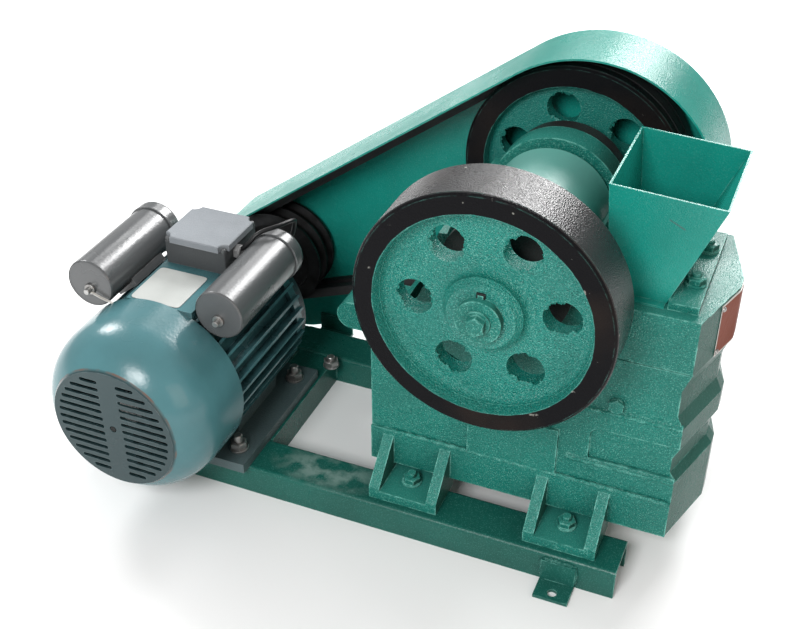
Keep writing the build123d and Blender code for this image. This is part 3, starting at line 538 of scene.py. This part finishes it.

# %% [markdown]
# ## The lead from the terminal box to the nearer capacitor
#
# A round black lead leaves the gland, rises in a loop and goes down behind the nearer can.
# It is a smooth curve through the same points as the frame's simple solid,
# with a round section. A bare copy of the curve is turned into a mesh of its line.

# %% Lead
LEAD_POINTS = ((-153, -34, 254), (-145.5, -33, 260), (-137, -24, 273), (-120, -8, 276),
               (-113, 16, 273), (-119, 30, 262), (-125, 31, 238), (-125, 4, 238))
LEAD_RADIUS = 2.5

lead_curve = bpy.data.curves.new("lead", "CURVE")
lead_curve.dimensions = "3D"
lead_curve.bevel_depth = 1.0
lead_curve.bevel_resolution = 6
lead_curve.resolution_u = 12
spline = lead_curve.splines.new("NURBS")
spline.points.add(len(LEAD_POINTS) - 1)
for knot, place in zip(spline.points, LEAD_POINTS):
    knot.co = (*(value * MM for value in place), 1)
    knot.radius = LEAD_RADIUS * MM
spline.order_u = 3
spline.use_endpoint_u = True
lead = bpy.data.objects.new("lead", lead_curve)
bpy.context.collection.objects.link(lead)
lead["finish"] = "cable_black"
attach(lead, "base")
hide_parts("capacitor_lead")

# %% The lead's line as a mesh
bare_curve = lead_curve.copy()
bare_curve.bevel_depth = 0
probe = bpy.data.objects.new("probe", bare_curve)
line = bpy.data.meshes.new_from_object(probe)
bpy.data.objects.remove(probe)

# %% [markdown]
# ## Effects that several finishes share
#
# Sandy castings, pale edges that are partly rubbed paint and partly painted highlight, and
# painted shade in hollows turn up in most of the finishes. Copying their nodes into each
# material would make many small differences by mistake, so each effect is a node group with
# named inputs, built once. These two helpers write a node, and an empty group with its
# sockets.

# %% Node helpers
FLOAT, VECTOR = "NodeSocketFloat", "NodeSocketVector"


def node(tree, kind, inputs=None, **settings):
    """A node with its settings, and each input linked or set."""
    made = tree.nodes.new(kind)
    for key, value in settings.items():
        setattr(made, key, value)
    for key, value in (inputs or {}).items():
        if isinstance(value, bpy.types.NodeSocket):
            tree.links.new(value, made.inputs[key])
        else:
            made.inputs[key].default_value = value
    return made


def blank_group(name, wanted, given):
    """An empty node group with its numbered sockets."""
    tree = bpy.data.node_groups.new(name, "ShaderNodeTree")
    for label, kind, start in wanted:
        socket = tree.interface.new_socket(label, in_out="INPUT", socket_type=kind)
        socket.default_value = start
    for label, kind in given:
        tree.interface.new_socket(label, in_out="OUTPUT", socket_type=kind)
    return tree, tree.nodes.new("NodeGroupInput"), tree.nodes.new("NodeGroupOutput")


print("node helpers ready")

# %% [markdown]
# ### The casting skin
#
# Sand leaves fine dimples and broad lumps, and paint rounds both. Cells give the dimples,
# noise breaks them up, and a slow noise adds the lumps. Their sum is a height for a bump,
# which is enough at this size: real displacement would cost millions of faces.

# %% Casting skin
skin, given, result = blank_group(
    "cast_skin", [("Grain", FLOAT, 900.0), ("Depth", FLOAT, 0.3), ("Waves", FLOAT, 0.3)],
    [("Normal", VECTOR)])
place = node(skin, "ShaderNodeTexCoord").outputs["Object"]
fine = node(skin, "ShaderNodeTexNoise", {"Vector": place, "Scale": given.outputs["Grain"],
                                         "Detail": 3.0, "Roughness": 0.6})
dimple = node(skin, "ShaderNodeTexVoronoi", {"Vector": place, "Scale": given.outputs["Grain"]},
              feature="F1")
broad = node(skin, "ShaderNodeTexNoise", {"Vector": place, "Scale": 170.0, "Detail": 2.0})
lump = node(skin, "ShaderNodeMath", {0: broad.outputs["Fac"], 1: given.outputs["Waves"]},
            operation="MULTIPLY")
sandy = node(skin, "ShaderNodeMath", {0: dimple.outputs["Distance"], 1: fine.outputs["Fac"]},
             operation="ADD")
height = node(skin, "ShaderNodeMath", {0: sandy.outputs[0], 1: lump.outputs[0]},
              operation="ADD")
rough = node(skin, "ShaderNodeBump", {"Strength": given.outputs["Depth"], "Distance": 0.0012,
                                      "Height": height.outputs[0]})
skin.links.new(rough.outputs["Normal"], result.inputs["Normal"])
print("casting skin", len(skin.nodes), "nodes")

# %% [markdown]
# ### Pale edges
#
# Paint is thin and rubbed on edges, and the pale colour mixed in there is partly that wear
# and partly a painted highlight along lit edges. The bevel node gives a rounded normal near
# an edge, and where it leaves the true one, an edge is close. Noise breaks the line up.

# %% Edge finder
edges, given, result = blank_group(
    "edge_finder", [("Radius", FLOAT, 0.002), ("Breakup", FLOAT, 90.0)], [("Edge", FLOAT)])
place = node(edges, "ShaderNodeTexCoord").outputs["Object"]
rounded = node(edges, "ShaderNodeBevel", {"Radius": given.outputs["Radius"]}, samples=4)
true = node(edges, "ShaderNodeNewGeometry")
turn = node(edges, "ShaderNodeVectorMath", {0: rounded.outputs["Normal"],
                                            1: true.outputs["Normal"]}, operation="DOT_PRODUCT")
bend = node(edges, "ShaderNodeMapRange", {"Value": turn.outputs["Value"], "From Min": 0.97,
                                          "From Max": 0.82, "To Min": 0.0, "To Max": 1.0})
patch = node(edges, "ShaderNodeTexNoise", {"Vector": place, "Scale": given.outputs["Breakup"],
                                           "Detail": 4.0})
gate = node(edges, "ShaderNodeMapRange", {"Value": patch.outputs["Fac"], "From Min": 0.42,
                                          "From Max": 0.6})
# Pale edge mask: partly rubbed paint, partly a painted highlight along lit edges
worn = node(edges, "ShaderNodeMath", {0: bend.outputs[0], 1: gate.outputs[0]},
            operation="MULTIPLY", use_clamp=True)
edges.links.new(worn.outputs[0], result.inputs["Edge"])
print("edge finder", len(edges.nodes), "nodes")

# %% [markdown]
# ### Painted shade in hollows
#
# Painted shade darkens corners and the space under ledges, where little light reaches.
# Ambient occlusion measures just that, and noise makes the patches uneven.

# %% Painted shade in hollows
hollow_shade_tree, given, result = blank_group(
    "painted_hollow_shade", [("Reach", FLOAT, 0.02), ("Amount", FLOAT, 0.5)], [("Mask", FLOAT)])
place = node(hollow_shade_tree, "ShaderNodeTexCoord").outputs["Object"]
# Painted shade: the mask grows where little light can reach, and the colour darkens there
hollow = node(hollow_shade_tree, "ShaderNodeAmbientOcclusion", {"Distance": given.outputs["Reach"]}, samples=2)
shut = node(hollow_shade_tree, "ShaderNodeMath", {0: 1.0, 1: hollow.outputs["AO"]}, operation="SUBTRACT")
patch = node(hollow_shade_tree, "ShaderNodeTexNoise", {"Vector": place, "Scale": 26.0, "Detail": 6.0,
                                          "Roughness": 0.65})
mixed = node(hollow_shade_tree, "ShaderNodeMath", {0: shut.outputs[0], 1: patch.outputs["Fac"]},
             operation="MULTIPLY")
mask = node(hollow_shade_tree, "ShaderNodeMath", {0: mixed.outputs[0], 1: given.outputs["Amount"]},
            operation="MULTIPLY", use_clamp=True)
hollow_shade_tree.links.new(mask.outputs[0], result.inputs["Mask"])
print("shared effects:", [g.name for g in bpy.data.node_groups])

# %% [markdown]
# ## Small tools for finishes
#
# A finish is one material. Each starts from a plain Principled shader, which is kept in a
# table by its name. Masks and colours are then mixed on the object's own coordinates, so
# that a pattern stays on its piece when the wheels turn.

# %% Finish tools
finishes = {}


def group(tree, which, **inputs):
    made = tree.nodes.new("ShaderNodeGroup")
    made.node_tree = which
    for key, value in inputs.items():
        made.inputs[key].default_value = value
    return made


def mix(tree, factor, a, b):
    """Colour a where the factor is 0 and b where it is 1."""
    made = node(tree, "ShaderNodeMix", data_type="RGBA")
    for socket, value in ((made.inputs[0], factor), (made.inputs[6], a), (made.inputs[7], b)):
        if isinstance(value, bpy.types.NodeSocket):
            tree.links.new(value, socket)
        else:
            socket.default_value = value
    return made.outputs[2]


def times(tree, a, b):
    """The product of two masks, or of a mask and a number."""
    return node(tree, "ShaderNodeMath", {0: a, 1: b}, operation="MULTIPLY").outputs[0]


def between(tree, value, low, high, start=0.0, end=1.0):
    """A value stretched so that low gives start and high gives end, and held there."""
    return node(tree, "ShaderNodeMapRange", {"Value": value, "From Min": low, "From Max": high,
                                             "To Min": start, "To Max": end}).outputs[0]


def rgb(r, g, b):
    return (r, g, b, 1.0)


def new_finish(name):
    material = bpy.data.materials.new(name)
    material.use_nodes = True
    finishes[name] = material
    tree = material.node_tree
    return tree, tree.nodes["Principled BSDF"]


def cloud(tree, scale, detail=4.0, low=0.35, high=0.65):
    """A soft patchy mask."""
    place = node(tree, "ShaderNodeTexCoord").outputs["Object"]
    noise = node(tree, "ShaderNodeTexNoise", {"Vector": place, "Scale": scale, "Detail": detail})
    return between(tree, noise.outputs["Fac"], low, high)


print("finish tools ready")

# %% [markdown]
# ## Enamel
#
# Nearly everything is painted, thick on the castings and thin on the sheet. One recipe
# serves for all: patchy colour, single dull and bright grains, painted shade in the hollows,
# pale edges that are partly rubbed paint and partly painted highlight, and the casting skin.
# A tint is a function that paints over part of a piece. It comes before hollows and edges,
# so that these show on both paints.

# %% Enamel
def enamel(name, colour, shadow, pale, grain=900.0, depth=0.3, waves=0.3, rough=0.25,
           edge=0.6, reach=0.02, hollow_shade_amount=0.6, specks=0.0, gloss=0.3, coat=0.0,
           rim_width=0.0016, tint=None):
    """Brushed or sprayed enamel over a skin of the given grain. A tint gives another
    colour, the mask where the skin is flatter, and the mask of what shines more there."""
    tree, shader = new_finish(name)
    patches = cloud(tree, 14.0)
    base = mix(tree, patches, rgb(*colour), rgb(*[0.82 * c for c in colour]))
    if specks:
        dull = times(tree, cloud(tree, 650.0, 2.0, 0.46, 0.34), specks)
        base = mix(tree, dull, base, rgb(*shadow))
        bright = times(tree, cloud(tree, 850.0, 2.0, 0.56, 0.68), specks)
        base = mix(tree, bright, base, rgb(*pale))
    covered = outer = None
    if tint is not None:
        base, covered, outer = tint(tree, base)
    # Painted shade in the hollows: the occlusion mask mixes the shadow colour in
    hollow = group(tree, hollow_shade_tree, Reach=reach, Amount=hollow_shade_amount)
    base = mix(tree, hollow.outputs["Mask"], base, rgb(*shadow))
    # Pale edges: partly rubbed paint, partly a painted highlight along lit edges
    rim = group(tree, edges, Radius=rim_width)
    base = mix(tree, times(tree, rim.outputs["Edge"], edge), base, rgb(*pale))
    tree.links.new(base, shader.inputs["Base Color"])

    surface = group(tree, skin, Grain=grain, Depth=depth, Waves=waves)
    shader.inputs["Specular IOR Level"].default_value = gloss
    if covered is not None:
        flatter = between(tree, covered, 0.0, 1.0, depth, 0.35 * depth)
        tree.links.new(flatter, surface.inputs["Depth"])
        brighter = between(tree, outer, 0.0, 1.0, 0.05, 0.5)
        level = between(tree, covered, 0.0, 1.0, gloss, brighter)
        tree.links.new(level, shader.inputs["Specular IOR Level"])
    tree.links.new(surface.outputs["Normal"], shader.inputs["Normal"])
    shine = between(tree, patches, 0.0, 1.0, rough, rough + 0.12)
    tree.links.new(shine, shader.inputs["Roughness"])
    shader.inputs["Coat Weight"].default_value = coat
    shader.inputs["Coat Roughness"].default_value = 0.28


GREEN = (0.007, 0.17, 0.134)
GREEN_DARK = (0.002, 0.04, 0.034)
GREEN_PALE = (0.2, 0.55, 0.47)
print("enamel ready")

# %% [markdown]
# ### Green castings
#
# The cast body is thick with brushed paint. Its upper faces are painted paler and glossier
# as a painted highlight, and the nose's front is painted darker as painted shade. Both are
# told by where the face looks, so no patch has to be painted by hand. The swing jaw's round
# head is smooth and glossy, and its upper side is painted paler as a painted highlight.

# %% Casting paint
def cast_faces(tree, base):
    """A casting's upper faces are smoother and shine more, and are painted paler as a painted
    highlight. Its front, which looks along X, is painted darker as painted shade."""
    way = node(tree, "ShaderNodeTexCoord").outputs["Normal"]
    parts = node(tree, "ShaderNodeSeparateXYZ", {"Vector": way}).outputs
    top = between(tree, parts["Z"], 0.55, 0.9)
    front = between(tree, parts["X"], 0.45, 0.75)
    # Painted highlight: upper faces are mixed towards a paler green
    painted_top_highlight = times(tree, top, 0.35)
    base = mix(tree, painted_top_highlight, base, rgb(0.06, 0.3, 0.25))
    # Painted shade: faces that look along X are mixed towards a dark colour
    base = mix(tree, times(tree, front, 0.7), base, rgb(0.022, 0.055, 0.042))
    both = node(tree, "ShaderNodeMath", {0: top, 1: front}, operation="ADD")
    return base, both.outputs[0], painted_top_highlight


def head_painted_highlight(tree, base):
    """The swing jaw's polished head is glossier where it looks up, and painted paler there as a
    painted highlight.
    """
    way = node(tree, "ShaderNodeTexCoord").outputs["Normal"]
    parts = node(tree, "ShaderNodeSeparateXYZ", {"Vector": way}).outputs
    top = between(tree, parts["Z"], 0.1, 0.8)
    # Painted highlight: the upper side is mixed towards a pale green
    return mix(tree, times(tree, top, 0.6), base, rgb(0.2, 0.5, 0.44)), top, top


enamel("green_cast", GREEN, GREEN_DARK, GREEN_PALE, grain=650.0, depth=0.5, waves=1.6,
       edge=1.0, specks=0.45, rough=0.22, gloss=0.3, rim_width=0.0028, tint=cast_faces)
enamel("green_gloss", (0.01, 0.2, 0.16), GREEN_DARK, GREEN_PALE, grain=500.0, depth=0.1,
       rough=0.35, hollow_shade_amount=0.3, specks=0.1, gloss=0.6, coat=1.0, tint=head_painted_highlight)
print("casting paint done")

# %% [markdown]
# ### Green steel and sheet
#
# The rails' paint is thin, and one pale patch on the nearer rail's upper face is a painted
# highlight. The hopper and the guard are smooth sprayed sheet, and the hopper has one
# scratch. A patch is an oval distance with a cloudy edge, and a scratch is the distance
# from a short line. Image textures would do the same with a file to carry along.

# %% Rail and sheet paint
RAIL_HIGHLIGHT_SPOT = (-0.02, -0.11, 0.036)
SCRATCH = ((308.5, -65, 410.5), (322.8, -65, 403.4))


def rail_painted_highlight(tree, base):
    """A pale patch painted on the nearer rail's upper face as a painted highlight."""
    place = node(tree, "ShaderNodeTexCoord").outputs["Object"]
    off = node(tree, "ShaderNodeVectorMath", {0: place, 1: RAIL_HIGHLIGHT_SPOT}, operation="SUBTRACT")
    flat = node(tree, "ShaderNodeVectorMath", {0: off.outputs[0], 1: (1.0, 2.4, 6.0)},
                operation="MULTIPLY")
    far = node(tree, "ShaderNodeVectorMath", {0: flat.outputs[0]}, operation="LENGTH")
    near = between(tree, far.outputs["Value"], 0.075, 0.03)
    spots = times(tree, near, cloud(tree, 55.0, low=0.4, high=0.6))
    # Painted highlight: the patch is mixed towards a pale green
    return mix(tree, spots, base, rgb(0.16, 0.27, 0.24)), None, None


def scratched(tree, base):
    """One scratch on the hopper's near side: near the line between its two ends."""
    place = node(tree, "ShaderNodeTexCoord").outputs["Object"]
    first, last = np.array(SCRATCH[0]) * MM, np.array(SCRATCH[1]) * MM
    way = last - first
    off = node(tree, "ShaderNodeVectorMath", {0: place, 1: tuple(first)}, operation="SUBTRACT")
    along = node(tree, "ShaderNodeVectorMath", {0: off.outputs[0], 1: tuple(way / (way @ way))},
                 operation="DOT_PRODUCT")
    share = node(tree, "ShaderNodeClamp", {"Value": along.outputs["Value"]})
    spot = node(tree, "ShaderNodeVectorMath", {0: tuple(way), "Scale": share.outputs[0]},
                operation="SCALE")
    gap = node(tree, "ShaderNodeVectorMath", {0: off.outputs[0], 1: spot.outputs[0]},
               operation="DISTANCE")
    line = between(tree, gap.outputs["Value"], 0.0016, 0.0007)
    worn = times(tree, line, cloud(tree, 400.0, low=0.35, high=0.5))
    return mix(tree, worn, base, rgb(0.1, 0.055, 0.075)), None, None


enamel("green_steel", (0.007, 0.1, 0.078), GREEN_DARK, GREEN_PALE, depth=0.12, edge=0.7,
       specks=0.2, tint=rail_painted_highlight)
enamel("green_sheet", (0.009, 0.26, 0.21), GREEN_DARK, GREEN_PALE, grain=650.0, depth=0.2,
       waves=0.6, rough=0.2, hollow_shade_amount=0.3, specks=0.12, tint=scratched)
print("rail and sheet paint done")

# %% [markdown]
# ### Wheels with black rims
#
# Each wheel is green, and its rim was painted black by hand, with an edge that wavers a
# little and small chips. The tread gleams and the faces are dull. The distance from the
# shaft tells all three, so one function serves both wheels at their own radii.

# %% Wheel paint
def from_axis(tree, centre):
    """The distance from an axis along Y."""
    place = node(tree, "ShaderNodeTexCoord").outputs["Object"]
    flat = node(tree, "ShaderNodeVectorMath", {0: place, 1: (1.0, 0.0, 1.0)}, operation="MULTIPLY")
    off = node(tree, "ShaderNodeVectorMath", {0: flat.outputs[0],
                                              1: (float(centre[0]), 0.0, float(centre[2]))},
               operation="SUBTRACT")
    return node(tree, "ShaderNodeVectorMath", {0: off.outputs[0]},
                operation="LENGTH").outputs["Value"]


def black_rim(radius, wheel_radius):
    """Black paint outside a radius, with an edge brushed by hand, over the green. Small
    chips show pale, and the tread shines more than the faces."""
    def tint(tree, base):
        distance = from_axis(tree, CRANK)
        wobble = times(tree, cloud(tree, 70.0), 0.0007)
        line = node(tree, "ShaderNodeMath", {0: distance, 1: wobble}, operation="ADD")
        outside = between(tree, line.outputs[0], radius, radius + 0.0008)
        black = mix(tree, cloud(tree, 9.0, low=0.5, high=0.75), rgb(0.006, 0.006, 0.007),
                    rgb(0.018, 0.013, 0.011))
        chips = cloud(tree, 75.0, 5.0, 0.715, 0.745)
        black = mix(tree, chips, black, rgb(0.2, 0.2, 0.18))
        tread = between(tree, distance, wheel_radius - 0.0012, wheel_radius - 0.0006)
        return mix(tree, outside, base, black), outside, tread
    return tint


enamel("flywheel_paint", (0.01, 0.21, 0.17), GREEN_DARK, GREEN_PALE, grain=650.0, depth=0.8,
       waves=0.9, edge=0.35, specks=0.5, gloss=0.4, rough=0.2, hollow_shade_amount=0.2,
       tint=black_rim(0.1045, 0.125))
enamel("belt_wheel_paint", (0.01, 0.17, 0.14), GREEN_DARK, GREEN_PALE, grain=650.0, depth=0.5,
       edge=0.3, specks=0.3, gloss=0.3, tint=black_rim(0.0992, 0.1215))
print("wheel paint done")

# %% [markdown]
# ### The motor, its box and its cans
#
# The motor is smooth grey-blue enamel. The flat face of its fan cover is painted darker
# between the slots as painted shade, and primer shows along the edge of that face, so the
# same distance mask does both. Box, lid and cans are plain coats of their own colours. The
# feet take a lighter copy of the end shield's paint, as painted light against the motor's
# shadow on them.

# %% Motor paints
GRILLE_R = 0.0738


def face_shade_and_primer_ring(tree, base):
    """The fan cover's flat face is painted darker as painted shade, and primer shows along its
    edge.
    """
    distance = from_axis(tree, MOTOR)
    face = between(tree, distance, GRILLE_R + 0.0007, GRILLE_R - 0.0013)
    # Painted shade: the flat face is mixed towards a dark colour
    base = mix(tree, times(tree, face, 0.85), base, rgb(0.012, 0.022, 0.024))
    off = node(tree, "ShaderNodeMath", {0: distance, 1: GRILLE_R}, operation="SUBTRACT")
    size = node(tree, "ShaderNodeMath", {0: off.outputs[0]}, operation="ABSOLUTE")
    line = between(tree, size.outputs[0], 0.001, 0.0004)
    worn = times(tree, line, cloud(tree, 60.0, low=0.45, high=0.65))
    return mix(tree, worn, base, rgb(0.13, 0.09, 0.075)), None, None


# Strong painted shade: the long reach darkens the fan cover's inside between the slots
enamel("motor_paint", (0.07, 0.19, 0.21), (0.004, 0.01, 0.012), (0.28, 0.4, 0.42), grain=260.0,
       depth=0.05, waves=0.5, rough=0.16, edge=0.3, reach=0.03, hollow_shade_amount=1.7, gloss=0.45,
       tint=face_shade_and_primer_ring)
enamel("shield_paint", (0.018, 0.042, 0.05), (0.008, 0.016, 0.02), (0.15, 0.2, 0.2),
       grain=500.0, depth=0.25, rough=0.35)
# Painted light: a lighter copy of the end shield's paint, against the motor's shadow on the feet
enamel("lit_foot_paint", (0.08, 0.12, 0.125), (0.01, 0.016, 0.02), (0.15, 0.2, 0.2), grain=500.0,
       depth=0.25, rough=0.35, hollow_shade_amount=0.3)
enamel("can_paint", (0.085, 0.09, 0.093), (0.03, 0.03, 0.03), (0.45, 0.45, 0.45), grain=300.0,
       depth=0.06, rough=0.2, edge=0.4, gloss=0.9)
enamel("lid_paint", (0.24, 0.26, 0.28), (0.12, 0.12, 0.12), (0.6, 0.6, 0.6), grain=700.0,
       rough=0.4, edge=0.3)
enamel("box_paint", (0.07, 0.075, 0.078), (0.02, 0.02, 0.02), (0.3, 0.3, 0.3), grain=700.0,
       rough=0.4, edge=0.3)
print("motor paints done")

# %% [markdown]
# ### Small parts
#
# The plates, the lead, the gland, the fan and the dark pieces of painted shade in gaps are
# small in the picture. They use the same enamel with a shallow skin, and each keeps its own
# colour and sheen.

# %% Paints of small parts
enamel("cover_iron", (0.03, 0.03, 0.03), (0.01, 0.01, 0.01), (0.1, 0.1, 0.1), grain=600.0,
       rough=0.3, edge=0.3)
enamel("plate_brown", (0.2, 0.04, 0.015), (0.05, 0.012, 0.008), (0.4, 0.25, 0.15),
       grain=260.0, depth=0.1, rough=0.4, gloss=0.06)
enamel("plate_rim", (0.62, 0.6, 0.56), (0.3, 0.28, 0.25), (0.7, 0.7, 0.7), grain=400.0,
       depth=0.05)
enamel("plate_pale", (0.5, 0.52, 0.5), (0.2, 0.2, 0.2), (0.7, 0.7, 0.7), grain=400.0,
       depth=0.05, rough=0.3)
enamel("cable_black", (0.012, 0.012, 0.013), (0.004, 0.004, 0.004), (0.05, 0.05, 0.05),
       grain=300.0, depth=0.03, rough=0.3, edge=0.1)
# Painted shade: a near-black finish for the dark pieces that stand for gaps
enamel("painted_gap_shade", (0.01, 0.012, 0.012), (0.004, 0.004, 0.004), (0.03, 0.03, 0.03), rough=0.6)
enamel("fan_black", (0.012, 0.013, 0.014), (0.004, 0.004, 0.004), (0.03, 0.03, 0.03),
       rough=0.5)
enamel("gland_grey", (0.22, 0.22, 0.22), (0.05, 0.05, 0.05), (0.3, 0.3, 0.3), depth=0.1,
       rough=0.35)
print("small parts done")

# %% [markdown]
# ## Bare metal and rubber
#
# Shafts and motor bolts are bright steel, jaw plates and pulley are dark iron, and the
# belts are matt rubber. Metal is the same shader with Metallic raised, darker oxide in
# patches and painted shade in its hollows, over a finer skin.

# %% Metal and rubber
def metal(name, colour, dark, rough, brushed=0.0):
    """Bare metal: darker oxide in patches, with fine turning or casting marks."""
    tree, shader = new_finish(name)
    patches = cloud(tree, 45.0)
    base = mix(tree, patches, rgb(*colour), rgb(*dark))
    # Painted shade in the hollows, mixed towards a dark brown
    hollow = group(tree, hollow_shade_tree, Reach=0.01, Amount=0.8)
    base = mix(tree, hollow.outputs["Mask"], base, rgb(0.03, 0.025, 0.02))
    tree.links.new(base, shader.inputs["Base Color"])
    shader.inputs["Metallic"].default_value = 0.9
    shine = between(tree, patches, 0.0, 1.0, rough, rough + 0.2)
    tree.links.new(shine, shader.inputs["Roughness"])
    surface = group(tree, skin, Grain=1400.0, Depth=0.12 + brushed, Waves=0.1)
    tree.links.new(surface.outputs["Normal"], shader.inputs["Normal"])


def rubber(name):
    """Belt rubber: matt black with a fine cloth grain and grey dust."""
    tree, shader = new_finish(name)
    base = mix(tree, cloud(tree, 30.0), rgb(0.008, 0.008, 0.009), rgb(0.02, 0.02, 0.021))
    tree.links.new(base, shader.inputs["Base Color"])
    shader.inputs["Roughness"].default_value = 0.55
    surface = group(tree, skin, Grain=1800.0, Depth=0.3, Waves=0.1)
    tree.links.new(surface.outputs["Normal"], shader.inputs["Normal"])


metal("bare_steel", (0.5, 0.5, 0.49), (0.3, 0.29, 0.28), 0.28)
metal("jaw_iron", (0.14, 0.13, 0.12), (0.06, 0.05, 0.045), 0.5, brushed=0.3)
metal("pulley_iron", (0.05, 0.05, 0.052), (0.02, 0.02, 0.02), 0.4)
rubber("belt_rubber")
print(len(finishes), "finishes")

# %% [markdown]
# ## Every piece gets its finish
#
# The frame's solids come with plain materials. This table says which finish each of them
# takes, and the added pieces carry the name of theirs. A last line prints any solid that
# the table forgot.

# %% Finish table
CAD_FINISH = {
    "green_steel": ("near_rail", "far_rail", "inner_cross_member", "outer_cross_member",
                    "anchor_tabs", "guard_brackets"),
    "green_gloss": ("swing_jaw",),
    "green_cast": ("jaw_frame", "clamp_strip", "toggle_beam", "rear_adjuster",
                   "near_end_washer", "far_end_washer"),
    "green_sheet": ("hopper", "belt_guard"),
    "flywheel_paint": ("flywheel",),
    "belt_wheel_paint": ("belt_wheel",),
    "cover_iron": ("bearing_covers",),
    "bare_steel": ("near_bearing", "far_bearing", "crank_shaft", "motor_shaft",
                   "tension_rod", "tension_spring"),
    "jaw_iron": ("fixed_jaw_plate", "moving_jaw_plate", "near_cheek_plate",
                 "far_cheek_plate", "toggle_plate"),
    "pulley_iron": ("motor_pulley",),
    "belt_rubber": ("v_belts",),
    "motor_paint": ("motor_housing", "fan_cover"),
    "shield_paint": ("end_shield",),
    "lit_foot_paint": ("motor_feet",),
    "box_paint": ("terminal_box",),
    "lid_paint": ("terminal_lid",),
    "can_paint": ("near_capacitor", "far_capacitor", "near_capacitor_cap",
                  "far_capacitor_cap", "capacitor_brackets"),
    "gland_grey": ("cable_gland",),
    "fan_black": ("cooling_fan",),
    "cable_black": ("capacitor_lead",),
}
for finish, names in CAD_FINISH.items():
    for name in names:
        mesh = nodes[name].data
        mesh.materials.clear()
        mesh.materials.append(finishes[finish])
for piece in list(bpy.data.objects):
    if "finish" in piece:
        piece.data.materials.append(finishes[piece["finish"]])
finished = {name for names in CAD_FINISH.values() for name in names}
print("solids without a finish:", sorted(set(nodes) - finished))

# %% [markdown]
# ## Floor and light
#
# The machine stands alone on white, in soft light from above. The floor is one pale sheet
# that only catches the shadow. A large lamp in front lights the painted sides, and larger
# ones behind draw the bright streaks along the guard, the wheel rims and the jaw's head.

# %% Floor
FLOOR_HALF = 6.0
floor_mesh = bpy.data.meshes.new("floor")
floor_mesh.from_pydata([(-FLOOR_HALF, -FLOOR_HALF, 0), (FLOOR_HALF, -FLOOR_HALF, 0),
                        (FLOOR_HALF, FLOOR_HALF, 0), (-FLOOR_HALF, FLOOR_HALF, 0)],
                       [], [(0, 1, 2, 3)])
floor = bpy.data.objects.new("floor", floor_mesh)
bpy.context.collection.objects.link(floor)
_, shader = new_finish("pale_floor")
shader.inputs["Base Color"].default_value = rgb(0.9, 0.9, 0.9)
shader.inputs["Roughness"].default_value = 0.9
floor_mesh.materials.append(finishes["pale_floor"])
print("floor set")

# %% Light
world = bpy.data.worlds.new("studio")
bpy.context.scene.world = world
world.use_nodes = True
sky = world.node_tree.nodes["Background"]
sky.inputs["Color"].default_value = rgb(1, 1, 1)
sky.inputs["Strength"].default_value = 0.5


def area_light(name, place, target, size, power, colour=(1, 1, 1)):
    lamp = bpy.data.objects.new(name, bpy.data.lights.new(name, "AREA"))
    lamp.data.size = size
    lamp.data.energy = power
    lamp.data.color = colour
    lamp.location = place
    bpy.context.collection.objects.link(lamp)
    aim = np.asarray(target, float) - np.asarray(place, float)
    lamp.rotation_euler = Vector(aim).to_track_quat("-Z", "Y").to_euler()


area_light("key", (0.0, -2.1, 1.75), (0, 0, 0.2), 0.8, 47)
area_light("back", (0.5, 2.3, 1.95), (0.05, 0, 0.25), 1.1, 78)
area_light("back_left", (-0.7, 2.3, 1.95), (0.05, 0, 0.25), 1.2, 20)
area_light("window", (-1.9, 0.8, 1.6), (-0.1, 0, 0.2), 0.6, 26)
area_light("fill", (2.0, -1.2, 1.0), (0.1, 0, 0.2), 1.2, 6, (1, 0.72, 0.55))
bpy.context.scene.view_settings.view_transform = "Standard"
print("lights set")

# %% [markdown]
# ## Close
#
# The frame's solids arrive as loose triangles. Smooth shading with crisp edges comes last,
# when nothing else touches their meshes.

# %% Shade
for piece in nodes.values():
    shade(piece.data)
